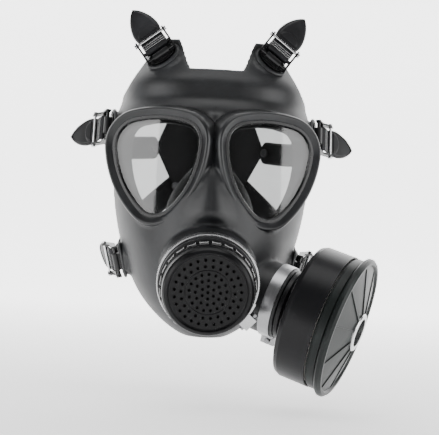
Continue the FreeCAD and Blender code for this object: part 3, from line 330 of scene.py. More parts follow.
def painted_metal(name, colour, roughness, placement, coat=0.25):
    """Stove enamel on drawn steel: orange peel, faint draw rings, dust and fine scratches."""
    f = Finish(name)
    place = f.local(placement)
    axes = f.node("ShaderNodeSeparateXYZ", None, [place])
    up = Wire(f, axes.socket.node.outputs["Z"])
    rings = f.noise(f.node("ShaderNodeCombineXYZ", None, [0.0, 0.0, up * 420.0]), 3.0, 3.0)
    peel = f.noise(place, 520.0, 2.0)
    dust = f.noise(place, 55.0, 5.0, 0.7)
    scratch = f.span(f.noise(f.stretch(place, (1.0, 1.0, 0.06)), 900.0, 4.0, 0.75), 0.66, 0.74)
    wear = f.span(dust, 0.52, 0.72)
    return f.surface(Base_Color=f.blend(wear, colour, lighter(colour, 1.9)),
                     Roughness=roughness + wear * 0.1 + scratch * 0.15, Specular_IOR_Level=0.22,
                     Coat_Weight=coat, Coat_Roughness=0.3,
                     Normal=f.bump(peel + rings * 0.4, 0.00004, f.rounded(0.0004)))


def clear_lens(name):
    """Lightly smoked polycarbonate with a trace of smudges."""
    f = Finish(name)
    place = f.place()
    smudge = f.span(f.noise(place, 45.0, 5.0, 0.6), 0.5, 0.8)
    streak = f.noise(f.stretch(place, (1.0, 1.0, 0.12)), 160.0, 3.0)
    return f.surface(Base_Color=f.blend(smudge, (0.25, 0.255, 0.255), (0.22, 0.225, 0.225)),
                     Roughness=0.015 + smudge * 0.05 + streak * 0.02, IOR=1.58, Transmission_Weight=1.0,
                     Normal=f.bump(streak, 0.000004))


def soft_valve(name, colour):
    """Translucent silicone."""
    f = Finish(name)
    place = f.place()
    cloud = f.noise(place, 150.0, 4.0)
    return f.surface(Base_Color=f.blend(cloud, lighter(colour, 0.85), lighter(colour, 1.1)),
                     Roughness=0.35 + cloud * 0.2, Normal=f.bump(cloud, 0.00003))


def woven_gauze(name, placement):
    """Fine black gauze: two sets of threads."""
    f = Finish(name)
    axes = f.node("ShaderNodeSeparateXYZ", None, [f.local(placement)])
    sideways = Wire(f, axes.socket.node.outputs["Y"])
    first = f.math("SINE", axes * 9000.0)
    second = f.math("SINE", sideways * 9000.0)
    weave = f.span(first * second, -1.0, 1.0)
    return f.surface(Base_Color=f.blend(weave, (0.0015, 0.0015, 0.0015), (0.006, 0.006, 0.006)),
                     Roughness=0.6 + weave * 0.2, Normal=f.bump(weave, 0.00015))


def loose_carbon(name):
    """Granules of carbon."""
    f = Finish(name)
    grains = f.cells(f.place(), 900.0)
    return f.surface(Base_Color=f.blend(grains, (0.035, 0.035, 0.036), (0.008, 0.008, 0.008)),
                     Roughness=0.55 + grains * 0.3, Normal=f.bump(1.0 - grains, 0.0004))


def filter_felt(name, colour):
    """Pleated glass-fibre paper."""
    f = Finish(name)
    place = f.place()
    fibre = f.noise(f.stretch(place, (1.0, 1.0, 3.0)), 900.0, 6.0, 0.75)
    return f.surface(Base_Color=f.blend(fibre, lighter(colour, 0.8), colour), Roughness=0.8 + fibre * 0.15,
                     Normal=f.bump(fibre, 0.0002))


# ---------------------------------------------------------------- placements
def axis_placement(origin, direction, across=(0.0, 0.0, 1.0)):
    """Matrix whose local z runs along direction and whose local x is as near to across as it can be."""
    z = Vector(direction).normalized()
    x = Vector(across)
    x = (x - z * x.dot(z)).normalized()
    y = z.cross(x)
    turn = Matrix((x, y, z)).transposed().to_4x4()
    return Matrix.Translation(Vector(origin)) @ turn


def joint_placement(name, back):
    """Placement on a joint's axis, back along it from the joint's point."""
    axis = Vector(JOINTS[name]["axis"])
    return axis_placement(Vector(JOINTS[name]["pos_m"]) - axis * back, axis)


FRONT = joint_placement("lock_ring_turn", 0.020)
PORT = joint_placement("canister_unscrew", 0.020)


def eye_placement():
    yaw = math.radians(EYE_YAW)
    origin = Vector(EYE_CENTRE) * MM
    return axis_placement(origin, (math.sin(yaw), -math.cos(yaw), 0.0), (math.cos(yaw), math.sin(yaw), 0.0))


def strap_placement(kind, side):
    """Local frame of a strap's lug in millimetres: x across, y along the strap, z away from the head."""
    sign = SIDES[side]
    flip = Vector((sign, 1.0, 1.0))
    data = STRAPS[kind]
    lug = Vector(data["lug"]) * flip
    normal = (Vector(data["normal"]) * flip).normalized()
    run = Vector(data["run"]) * flip
    run = (run - normal * run.dot(normal)).normalized()
    return axis_placement(lug, normal, run.cross(normal))


# ---------------------------------------------------------------- meshes
def new_piece(name, points, faces, material, smooth=True):
    """Mesh object in metres at the origin."""
    mesh = bpy.data.meshes.new(name)
    mesh.from_pydata([tuple(p) for p in points], [], faces)
    mesh.validate()
    work = bmesh.new()
    work.from_mesh(mesh)
    bmesh.ops.remove_doubles(work, verts=work.verts, dist=1e-7)
    bmesh.ops.recalc_face_normals(work, faces=work.faces)
    work.to_mesh(mesh)
    work.free()
    mesh.materials.append(material)
    for polygon in mesh.polygons:
        polygon.use_smooth = smooth
    piece = bpy.data.objects.new(name, mesh)
    bpy.context.scene.collection.objects.link(piece)
    return piece


def settle(piece, body, slot, *replaced):
    """Fixes a finished piece to its body and hides the frame nodes it stands in for."""
    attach(piece, body)
    if replaced:
        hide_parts(*replaced)


def bake_modifiers(piece):
    """Turns the piece with its modifiers into a plain mesh."""
    graph = bpy.context.evaluated_depsgraph_get()
    mesh = bpy.data.meshes.new_from_object(piece.evaluated_get(graph), preserve_all_data_layers=True,
                                           depsgraph=graph)
    old = piece.data
    piece.modifiers.clear()
    piece.data = mesh
    bpy.data.meshes.remove(old)
    return piece


def softened_copy(node, name, material, cell, rounds):
    """Copy of a frame node as one even, softly rounded surface."""
    source = frame["nodes"][node].data
    work = bmesh.new()
    work.from_mesh(source)
    bmesh.ops.remove_doubles(work, verts=work.verts, dist=2e-6)
    mesh = bpy.data.meshes.new(name)
    work.to_mesh(mesh)
    work.free()
    mesh.materials.clear()
    mesh.materials.append(material)
    piece = bpy.data.objects.new(name, mesh)
    bpy.context.scene.collection.objects.link(piece)
    remesh = piece.modifiers.new("cells", "REMESH")
    remesh.mode = "VOXEL"
    remesh.voxel_size = cell
    remesh.use_smooth_shade = True
    relax = piece.modifiers.new("relax", "SMOOTH")
    relax.factor = 0.5
    relax.iterations = rounds
    return bake_modifiers(piece)


def move_points(piece, shift):
    """Moves a piece's points by shift(points), an array of displacements."""
    count = len(piece.data.vertices)
    flat = np.zeros(count * 3)
    piece.data.vertices.foreach_get("co", flat)
    points = flat.reshape(-1, 3)
    piece.data.vertices.foreach_set("co", (points + shift(points)).ravel())
    piece.data.update()


def ease(value, low, high):
    """Smooth step for arrays and numbers."""
    t = np.clip((value - low) / (high - low), 0.0, 1.0)
    return t * t * (3.0 - 2.0 * t)


def band(stations, across_steps=12):
    """Flat bar along stations of (centre, across, out, half width, half thickness, relief of u)."""
    shares = [-1.0 + 2.0 * k / across_steps for k in range(across_steps + 1)]
    points, faces = [], []
    for centre, across, out, half, thick, relief in stations:
        solid = max(0.05, 1.0 - thick / half)
        loop = []
        for u in shares:
            over = max(0.0, (abs(u) - solid) / (1.0 - solid))
            rise = thick * math.sqrt(max(0.0, 1.0 - over * over))
            loop.append((u, rise + (relief(u) if over == 0.0 else 0.0)))
        for u in reversed(shares[1:-1]):
            over = max(0.0, (abs(u) - solid) / (1.0 - solid))
            loop.append((u, -thick * math.sqrt(max(0.0, 1.0 - over * over))))
        points += [centre + across * (u * half) + out * z for u, z in loop]
    size = 2 * across_steps
    for row in range(len(stations) - 1):
        for k in range(size):
            after = (k + 1) % size
            a, b = row * size + k, row * size + after
            faces.append((a, b, b + size, a + size))
    faces.append(tuple(range(size)))
    faces.append(tuple(len(points) - size + k for k in range(size)))
    return points, faces


def flat_relief(u):
    return 0.0


def swept_ring(loop, profile, placement, mirror):
    """Ring that carries a closed profile of (outwards, forwards) round a loop of (point, normal)."""
    points, faces = [], []
    size = len(profile)
    for point, normal in loop:
        for grow, height in profile:
            flat = point + normal * grow
            spot = placement @ (Vector((flat.x, flat.y, height)) * MM)
            points.append(Vector((spot.x * mirror, spot.y, spot.z)))
    count = len(loop)
    for row in range(count):
        for k in range(size):
            a, b = row * size + k, row * size + (k + 1) % size
            c, d = ((row + 1) % count) * size + (k + 1) % size, ((row + 1) % count) * size + k
            faces.append((a, b, c, d))
    return points, faces


def eye_loop(steps=18):
    """Outline of the eyepiece as points with outward normals."""
    corners = [(Vector((u, v)), r) for u, v, r in EYE_CORNERS]
    sides = []
    for k in range(3):
        (c1, r1), (c2, r2) = corners[k], corners[(k + 1) % 3]
        d1, d2, gap = EYE_SIDES[k] - r1, EYE_SIDES[k] - r2, (c2 - c1).length
        along = (d1 * d1 - d2 * d2 + gap * gap) / (2 * gap)
        unit = (c2 - c1) / gap
        inward = Vector((unit.y, -unit.x))
        centre = c1 + unit * along + inward * math.sqrt(d1 * d1 - along * along)
        sides.append((centre, EYE_SIDES[k], (c1 - centre).normalized(), (c2 - centre).normalized()))
    loop = []
    for k in range(3):
        centre, radius, first, last = sides[k]
        corner, small = corners[(k + 1) % 3]
        arcs = [(centre, radius, first, last), (corner, small, last, sides[(k + 1) % 3][2])]
        for middle, reach, begin, end in arcs:
            sweep = math.atan2(begin.cross(end), begin.dot(end))
            for j in range(steps):
                angle = sweep * j / steps
                c, s = math.cos(angle), math.sin(angle)
                normal = Vector((begin.x * c - begin.y * s, begin.x * s + begin.y * c))
                loop.append((middle + normal * reach, normal))
    return loop


# ---------------------------------------------------------------- repeated details
def copies_tree(name, shape, material):
    """Node tree that puts one small shape on every point, turned by the points' own directions."""
    tree = bpy.data.node_groups.new(name, "GeometryNodeTree")
    tree.interface.new_socket("Geometry", in_out="INPUT", socket_type="NodeSocketGeometry")
    for label in ("Length", "Width", "Height"):
        tree.interface.new_socket(label, in_out="INPUT", socket_type="NodeSocketFloat")
    tree.interface.new_socket("Geometry", in_out="OUTPUT", socket_type="NodeSocketGeometry")
    link = tree.links.new
    entry = tree.nodes.new("NodeGroupInput")
    leave = tree.nodes.new("NodeGroupOutput")
    size = tree.nodes.new("ShaderNodeCombineXYZ")
    for k, label in enumerate(("Length", "Width", "Height")):
        link(entry.outputs[label], size.inputs[k])
    if shape == "bar":
        seed = tree.nodes.new("GeometryNodeMeshCube")
    elif shape == "dome":
        seed = tree.nodes.new("GeometryNodeMeshUVSphere")
        seed.inputs["Segments"].default_value = 24
        seed.inputs["Rings"].default_value = 12
        seed.inputs["Radius"].default_value = 0.5
    else:
        circle = tree.nodes.new("GeometryNodeCurvePrimitiveCircle")
        circle.inputs["Resolution"].default_value = 16
        circle.inputs["Radius"].default_value = 0.5
        bead = tree.nodes.new("GeometryNodeCurvePrimitiveCircle")
        bead.inputs["Resolution"].default_value = 6
        bead.inputs["Radius"].default_value = 0.09
        seed = tree.nodes.new("GeometryNodeCurveToMesh")
        link(circle.outputs["Curve"], seed.inputs["Curve"])
        link(bead.outputs["Curve"], seed.inputs["Profile Curve"])
    spread = tree.nodes.new("GeometryNodeInstanceOnPoints")
    link(entry.outputs["Geometry"], spread.inputs["Points"])
    link(seed.outputs[0], spread.inputs["Instance"])
    link(size.outputs[0], spread.inputs["Scale"])
    turn = None
    for attribute, axis, pivot in (("out", "Z", "AUTO"), ("along", "X", "Z")):
        read = tree.nodes.new("GeometryNodeInputNamedAttribute")
        read.data_type = "FLOAT_VECTOR"
        read.inputs["Name"].default_value = attribute
        align = tree.nodes.new("FunctionNodeAlignRotationToVector")
        align.axis = axis
        align.pivot_axis = pivot
        link(read.outputs["Attribute"], align.inputs["Vector"])
        if turn is not None:
            link(turn.outputs["Rotation"], align.inputs["Rotation"])
        turn = align
    link(turn.outputs["Rotation"], spread.inputs["Rotation"])
    real = tree.nodes.new("GeometryNodeRealizeInstances")
    paint = tree.nodes.new("GeometryNodeSetMaterial")
    paint.inputs["Material"].default_value = material
    link(spread.outputs["Instances"], real.inputs["Geometry"])
    link(real.outputs["Geometry"], paint.inputs["Geometry"])
    link(paint.outputs["Geometry"], leave.inputs["Geometry"])
    return tree


def copies(name, spots, shape, size, material, smooth=True):
    """Plain mesh of one small shape at each spot of (point, out, along), sized (length, width, height)."""
    mesh = bpy.data.meshes.new(name)
    mesh.from_pydata([tuple(spot[0]) for spot in spots], [], [])
    for index, label in ((1, "out"), (2, "along")):
        layer = mesh.attributes.new(label, "FLOAT_VECTOR", "POINT")
        layer.data.foreach_set("vector", [c for spot in spots for c in spot[index]])
    piece = bpy.data.objects.new(name, mesh)
    bpy.context.scene.collection.objects.link(piece)
    tree = copies_tree(name, shape, material)
    modifier = piece.modifiers.new("copies", "NODES")
    modifier.node_group = tree
    named = {item.name: item.identifier for item in tree.interface.items_tree if item.in_out == "INPUT"}
    for label, value in zip(("Length", "Width", "Height"), size):
        modifier[named[label]] = value
    bake_modifiers(piece)
    work = bmesh.new()
    work.from_mesh(piece.data)
    bmesh.ops.remove_doubles(work, verts=work.verts, dist=1e-6)
    bmesh.ops.recalc_face_normals(work, faces=work.faces)
    if shape == "bar":
        bmesh.ops.bevel(work, geom=work.edges[:], offset=min(size) * 0.2, segments=2, affect="EDGES",
                        profile=0.5)
    work.to_mesh(piece.data)
    work.free()
    for polygon in piece.data.polygons:
        polygon.use_smooth = smooth
    if not piece.data.polygons:
        raise RuntimeError(f"{name} came out empty")
    return piece


# ---------------------------------------------------------------- strap courses
def head_point(direction, lift):
    """Point on the head form, lifted off it, and the outward normal there."""
    a, b, c = HEAD_SIZE
    scale = 1.0 / math.sqrt((direction.x / a) ** 2 + (direction.y / b) ** 2 + (direction.z / c) ** 2)
    point = direction * scale
    normal = Vector((point.x / a ** 2, point.y / b ** 2, point.z / c ** 2)).normalized()
    return HEAD_CENTRE + point + normal * lift, normal


def strap_course(kind, side):
    """The strap over the head: a function of the share of the way to the pad, for a point and its normal."""
    place = strap_placement(kind, side)
    turn = place.to_3x3()
    start = place @ Vector((0.0, WIRE.y + 4.0, 1.6))
    half, height = PAD_CORNERS[kind]
    x, z = half * SIDES[side], height - HEAD_CENTRE.z
    depth = HEAD_SIZE[1] * math.sqrt(1.0 - (x / HEAD_SIZE[0]) ** 2 - (z / HEAD_SIZE[2]) ** 2)
    begin = start - HEAD_CENTRE
    lead = (begin + turn @ Vector((0.0, 60.0, 0.0))).normalized()
    end = Vector((x, depth, z)).normalized()
    stand_off = start - head_point(begin, 0.0)[0]
    begin = begin.normalized()
    normal = turn @ Vector((0.0, 0.0, 1.0))

    def at(share):
        towards = begin * (1 - share) ** 2 + lead * (2 * share * (1 - share)) + end * share ** 2
        climb = min(1.0, max(0.0, (share - 0.4) / 0.3))
        keep = (1 - share) ** 3
        point, out = head_point(towards, (2.5 + 3.3 * climb) * (1 - keep))
        return point + stand_off * keep, (normal * keep + out * (1 - keep)).normalized()

    return at


def run_stations(kind, side, half, thick):
    """Stations of the strap from under the buckle's bar to the pad."""
    place = strap_placement(kind, side)
    normal = place.to_3x3() @ Vector((0.0, 0.0, 1.0))
    course = strap_course(kind, side)
    under = place @ Vector((0.0, BAR.y, BAR.z - BAR_R - FIT - thick))
    start = course(0.0)[0]
    line = [(under.lerp(start, k / 6), normal) for k in range(6)] + [course(k / 48) for k in range(49)]
    stations = []
    for k, (point, out) in enumerate(line):
        along = (line[min(k + 1, len(line) - 1)][0] - line[max(k - 1, 0)][0]).normalized()
        across = along.cross(out).normalized()
        left = (line[-1][0] - point).length
        narrow = math.sqrt(max(0.12, 1.0 - max(0.0, 1.0 - left / 6.0) ** 2))
        width = half * narrow * MM
        stations.append((point * MM, across, across.cross(along), width, thick * MM, strap_edges))
    return stations


def strap_edges(u):
    """Slightly raised moulded edges along the strap."""
    return 0.00025 * (1.0 if 0.72 < abs(u) < 0.9 else 0.0)


def tab_half_width(share, half):
    """Half width of the leaf-shaped pull tab."""
    base = 0.88 + 0.12 * math.sin(min(1.0, share / 0.26) * math.pi / 2)
    narrowing = max(0.0, (share - 0.26) / 0.74)
    return half * base * max(0.05, (1.0 - narrowing ** 1.7) ** 0.72)


def tab_relief(distance, share, width):
    """Raised border, cross rib and crescent pad of the pull tab, in metres."""
    def relief(u):
        x = abs(u) * width
        border = 0.75 * float(ease(x, width - 2.4, width - 1.9))
        border = max(border, 0.75 * float(ease(share, 0.92, 0.94)))
        rib = 1.3 * float(ease(distance, 1.4, 1.9) * (1 - ease(distance, 3.4, 3.9))) * float(x < 8.8)
        reach = 5.2 + 7.0 * math.sqrt(max(0.0, 1.0 - (x / 8.6) ** 2))
        pad = 1.1 * float(ease(distance, 4.8, 5.3) * (1 - ease(distance, reach - 0.5, reach + 0.2)))
        return max(border, rib, pad) * MM
    return relief


def front_stations(kind, side, harness):
    """Stations of the strap's front: round the bar, under the wire and out along the pull tab."""
    place = strap_placement(kind, side)
    turn = place.to_3x3()
    across = turn @ Vector((1.0, 0.0, 0.0))
    half, thick = harness.width / MM / 2, harness.thickness / MM / 2
    tail_half, tail_length = harness.tail_width / MM / 2, harness.tail_length / MM
    lean = math.radians(TAB_LEAN[kind])
    thin = LOOP_SHARE * thick
    loop_r = BAR_R + FIT + thin
    reach = WIRE_R + FIT + thick
    line = []
    for k in range(13):
        angle = math.radians(270.0 - 180.0 * k / 12)
        spot = Vector((0.0, BAR.y + loop_r * math.cos(angle), BAR.z + loop_r * math.sin(angle)))
        line.append((spot, Vector((0.0, math.cos(angle), math.sin(angle))), thin, None))
    slope = math.atan2(WIRE.z - reach - BAR.z - loop_r, WIRE.y - BAR.y)
    for k in range(7):
        angle = slope + (lean - slope) * k / 6
        spot = WIRE + Vector((0.0, math.sin(angle), -math.cos(angle))) * reach
        line.append((spot, Vector((0.0, -math.sin(angle), math.cos(angle))), thick, None))
    base = line[-1][0]
    for k in range(1, 101):
        share = k / 100
        distance = share * tail_length
        droop = 0.0026 * distance ** 2
        spot = base + Vector((0.0, math.cos(lean), math.sin(lean))) * distance
        spot += Vector((0.0, math.sin(lean), -math.cos(lean))) * droop
        line.append((spot, Vector((0.0, -math.sin(lean), math.cos(lean))), thick, share))
    stations = []
    for spot, out, depth, share in line:
        if share is None:
            width, relief = half, flat_relief
        else:
            step_in = float(ease(share, 0.0, 0.06))
            width = half * (1 - step_in) + tab_half_width(share, tail_half) * step_in
            relief = tab_relief(share * tail_length, share, width)
        stations.append(((place @ spot) * MM, across, turn @ out, width * MM, depth * MM, relief))
    return stations


# ---------------------------------------------------------------- finishes
def make_finishes(scene):
    """Every material of the respirator by slot name."""
    face, harness, can = scene.respirator_face, scene.respirator_harness, scene.respirator_canister
    looks = {
        "face_rubber": rubber("moulded_face_rubber", tuple(face.colour), face.roughness, parting=True),
        "rim_rubber": rubber("polished_rim_rubber", tuple(face.colour), face.roughness - 0.1, 0.00002),
        "cup_rubber": rubber("soft_cup_rubber", (0.012, 0.0125, 0.013), 0.5),
        "strap_rubber": rubber("strap_rubber", tuple(harness.colour), 0.42, 0.00002, dust=2.6, shine=0.28),
        "gasket_rubber": rubber("gasket_rubber", (0.025, 0.025, 0.025), 0.6),
        "valve_silicone": soft_valve("valve_silicone", (0.62, 0.61, 0.57)),
        "housing_plastic": moulded_plastic("housing_plastic", (0.006, 0.006, 0.007), 0.38, shine=0.3),
        "ring_plastic": moulded_plastic("ring_plastic", (0.004, 0.004, 0.0045), 0.26),
        "cover_plastic": moulded_plastic("cover_plastic", (0.0035, 0.0035, 0.004), 0.3, 0.0005, 0.00002, 0.2),
        "valve_plastic": moulded_plastic("pale_valve_plastic", (0.5, 0.5, 0.48), 0.45),
        "lug_plastic": moulded_plastic("lug_plastic", (0.005, 0.005, 0.0055), 0.3),
        "buckle_plastic": moulded_plastic("buckle_plastic", (0.005, 0.005, 0.0055), 0.26),
        "canister_plastic": moulded_plastic("canister_neck_plastic", (0.006, 0.006, 0.007), 0.4),
        "canister_paint": painted_metal("canister_paint", tuple(can.paint), 0.34, PORT, 0.08),
        "cap_paint": painted_metal("cap_paint", tuple(can.cap), 0.4, PORT, 0.05),
        "diaphragm_foil": brushed_metal("diaphragm_foil", (0.6, 0.6, 0.62), 0.35, FRONT),
        "band_steel": brushed_metal("clamp_band_steel", (0.4, 0.4, 0.41), 0.3, PORT),
        "screw_steel": brushed_metal("screw_steel", (0.3, 0.3, 0.31), 0.3),
        "wire_steel": brushed_metal("wire_steel", (0.85, 0.85, 0.86), 0.14, edge=0.0001),
        "inlet_metal": brushed_metal("inlet_metal", (0.66, 0.67, 0.67), 0.24, PORT),
        "grid_metal": brushed_metal("grid_metal", (0.5, 0.5, 0.5), 0.35, PORT),
        "carbon": loose_carbon("carbon_granules"),
        "filter_paper": filter_felt("filter_paper", (0.78, 0.77, 0.72)),
        "lens_clear": clear_lens("clear_lens"),
        "gauze": woven_gauze("cover_gauze", FRONT),
        "front_band": brushed_metal("front_band_steel", (0.55, 0.55, 0.56), 0.26, FRONT),
    }
    return looks


LOOKS = {}


class RESPIRATOR_OT_finishes(bpy.types.Operator):
    """Make every finish and put it on the frame's own pieces"""
    bl_idname = "respirator.finishes"
    bl_label = "Finishes"

    def execute(self, context):
        LOOKS.update(make_finishes(context.scene))
        for node, piece in frame["nodes"].items():
            look = LOOKS["front_band" if node == "front_clamp_band" else SLOT_OF[node]]
            for index in range(len(piece.material_slots)):
                piece.material_slots[index].material = look
        return {"FINISHED"}


# ---------------------------------------------------------------- facepiece
def face_shift(settings):
    """Adds the nose ridge, the hollow above the collar, the brow and the recess between the rims."""
    def shift(points):
        x, y, z = points[:, 0] / MM, points[:, 1] / MM, points[:, 2] / MM
        front = 1.0 - ease(y, -58.0, -50.0)
        width = np.interp(z, [-20.0, 28.0], [26.0, 6.0])
        crest = np.clip(1.0 - (x / width) ** 2, 0.0, 1.0) ** 2
        ridge = settings.ridge * crest * ease(z, -22.0, -8.0) * (1.0 - ease(z, 18.0, 34.0))
        pit = settings.hollow * (1.0 - ease(np.hypot(x / 15.0, (z + 20.0) / 6.5), 0.1, 1.0))
        between = np.exp(-(x / 8.0) ** 2) * ease(z, 26.0, 38.0) * (1.0 - ease(z, 56.0, 62.5))
        brow = np.exp(-(x / 28.0) ** 2) * np.exp(-((z - 68.0) / 6.5) ** 2)
        moved = np.zeros_like(points)
        moved[:, 1] = front * (pit - ridge + settings.recess * between - settings.brow * brow)
        return moved
    return shift


class RESPIRATOR_OT_facepiece(bpy.types.Operator):
    """Build the moulded rubber facepiece, with its nose ridge and soft edges"""
    bl_idname = "respirator.facepiece"
    bl_label = "Facepiece"

    def execute(self, context):
        settings = context.scene.respirator_face
        cell = settings.cell * 1.0
        shell = softened_copy("facepiece", "face_shell", LOOKS["face_rubber"], cell, 5)
        move_points(shell, face_shift(settings))
        settle(shell, FACE_BODY, "face_rubber", "facepiece")
        return {"FINISHED"}


# Section of an eyepiece rim: outwards from the lens outline, and forwards of the lens
RIM_PROFILE = [
    (2.35, -4.2), (2.35, -0.9), (2.6, -0.35), (3.2, 0.0), (4.4, 0.65), (5.6, 1.25), (6.5, 1.65),
    (7.1, 1.8), (7.7, 1.7), (8.3, 1.25), (8.9, 0.45), (9.4, -0.7), (9.8, -2.2), (10.4, -6.0),
    (11.3, -12.0), (12.3, -20.0), (8.0, -20.0), (6.5, -9.0), (5.0, -4.8),
]


class RESPIRATOR_OT_rims(bpy.types.Operator):
    """Build the two eyepiece rims with their rounded lips"""
    bl_idname = "respirator.rims"
    bl_label = "Eyepiece rims"

    def execute(self, context):
        crown = context.scene.respirator_face.rim_crown
        profile = [(grow, height * (crown if height > 0.0 else 1.0)) for grow, height in RIM_PROFILE]
        for side, sign in SIDES.items():
            points, faces = swept_ring(eye_loop(), profile, eye_placement(), sign)
            settle(new_piece(f"eye_rim_{side}", points, faces, LOOKS["rim_rubber"]), FACE_BODY, "face_rubber")
        return {"FINISHED"}


class RESPIRATOR_OT_lug_rings(bpy.types.Operator):
    """Build the oval rubber rings round the strap lugs"""
    bl_idname = "respirator.lug_rings"
    bl_label = "Lug rings"

    def execute(self, context):
        for kind in STRAPS:
            for side in SIDES:
                place = strap_placement(kind, side)
                points, faces = oval_ring(place, *LUG_RING, LUG_RING_R, LUG_RING_RISE)
                piece = new_piece(f"lug_ring_{kind}_{side}", points, faces, LOOKS["face_rubber"])
                settle(piece, FACE_BODY, "face_rubber")
        return {"FINISHED"}


def disc(placement, radius, low, high, steps=96):
    """Plain round plate on a placement, between two heights in millimetres."""
    points = []
    for height in (low, high):
        for k in range(steps):
            angle = 2 * math.pi * k / steps
            spot = Vector((radius * math.cos(angle), radius * math.sin(angle), height))
            points.append(placement @ (spot * MM))
    faces = [(k, (k + 1) % steps, steps + (k + 1) % steps, steps + k) for k in range(steps)]
    faces += [tuple(reversed(range(steps))), tuple(range(steps, 2 * steps))]
    return points, faces


def oval_ring(place, long, wide, thick, height):
    """Oval bead lying round a lug."""
    points, faces = [], []
    steps, around = 48, 12
    for k in range(steps):
        angle = 2 * math.pi * k / steps
        centre = Vector((long * math.cos(angle), wide * math.sin(angle), height))
        normal = Vector((math.cos(angle) / long, math.sin(angle) / wide, 0.0)).normalized()
        for j in range(around):
            turn = 2 * math.pi * j / around
            rise = Vector((0.0, 0.0, thick * 0.8 * math.sin(turn)))
            spot = centre + normal * (thick * math.cos(turn)) + rise
            points.append((place @ spot) * MM)
    for k in range(steps):
        for j in range(around):
            a, b = k * around + j, k * around + (j + 1) % around
            c, d = ((k + 1) % steps) * around + (j + 1) % around, ((k + 1) % steps) * around + j
            faces.append((a, b, c, d))
    return points, faces


class RESPIRATOR_OT_inner_cup(bpy.types.Operator):
    """Build the soft inner nose cup"""
    bl_idname = "respirator.inner_cup"
    bl_label = "Nose cup"

    def execute(self, context):
        cup = softened_copy("nose_cup", "soft_nose_cup", LOOKS["cup_rubber"], 0.0012, 4)
        settle(cup, FACE_BODY, "cup_rubber", "nose_cup")
        return {"FINISHED"}


# ---------------------------------------------------------------- front unit and canister
def ring_spots(placement, radius, height, count, first=0.0, sweep=360.0, facing="out"):
    """Spots round an axis of a placement in metres; out is radial or along the axis."""
    turn = placement.to_3x3()
    spots = []
    for k in range(count):
        angle = math.radians(first + sweep * k / count)
        radial = Vector((math.cos(angle), math.sin(angle), 0.0))
        tangent = Vector((-math.sin(angle), math.cos(angle), 0.0))
        point = placement @ (radial * radius * MM + Vector((0.0, 0.0, height * MM)))
        out = radial if facing == "out" else Vector((0.0, 0.0, 1.0))
        spots.append((point, turn @ out, turn @ tangent))
    return spots


# Circles of holes in the front cover: radius, number of holes, angle of the first
COVER_HOLES = [(0.0, 1, 0.0), (4.8, 6, 0.0), (9.4, 12, 0.0), (14.2, 17, 0.0), (20.2, 22, 180.0 / 22),
               (25.2, 27, 180.0 / 27)]
COVER_FACE = 32.5
GAUZE_R, GAUZE_LOW, GAUZE_HIGH = 29.3, 29.5, 29.9
GRIP_R, GRIP_MIDDLE, GRIP_COUNT = 36.15, 21.6, 24


class RESPIRATOR_OT_front_details(bpy.types.Operator):
    """Add the hole rims of the front cover, the grip ribs of the lock ring and the gauze behind the cover"""
    bl_idname = "respirator.front_details"
    bl_label = "Front unit details"

    def execute(self, context):
        spots = []
        for radius, count, first in COVER_HOLES:
            spots += ring_spots(FRONT, radius, COVER_FACE, count, first, 360.0, "axis")
        rims = copies("cover_hole_rims", spots, "ring", (2.5 * MM, 2.5 * MM, 1.6 * MM),
                      LOOKS["cover_plastic"])
        settle(rims, "cover_body", "cover_plastic")
        gauze = new_piece("cover_gauze", *disc(FRONT, GAUZE_R, GAUZE_LOW, GAUZE_HIGH), LOOKS["gauze"])
        settle(gauze, "cover_body", "cover_plastic")
        grips = ring_spots(FRONT, GRIP_R, GRIP_MIDDLE, GRIP_COUNT, 180.0 / GRIP_COUNT)
        ribs = copies("lock_ring_ribs", grips, "bar",
                      (6.4 * MM, 3.6 * MM, 0.9 * MM), LOOKS["ring_plastic"], False)
        settle(ribs, "lock_ring_body", "ring_plastic")
        return {"FINISHED"}


class RESPIRATOR_OT_clamp_details(bpy.types.Operator):
    """Add the screw slots along both clamp bands"""
    bl_idname = "respirator.clamp_details"
    bl_label = "Clamp details"

    def execute(self, context):
        teeth = context.scene.respirator_canister.teeth
        jobs = [("side_band_slots", PORT, 30.15, 0.0, 225.0, "band_steel", 5.0),
                ("front_band_slots", FRONT, 39.45, 7.0, 246.0, "front_band", 3.8)]
        for name, placement, radius, height, first, look, width in jobs:
            spots = ring_spots(placement, radius, height, teeth, first, teeth * 2.6)
            piece = copies(name, spots, "bar", (0.9 * MM, width * MM, 0.5 * MM), LOOKS[look], False)
            settle(piece, FACE_BODY, "band_steel")
        return {"FINISHED"}


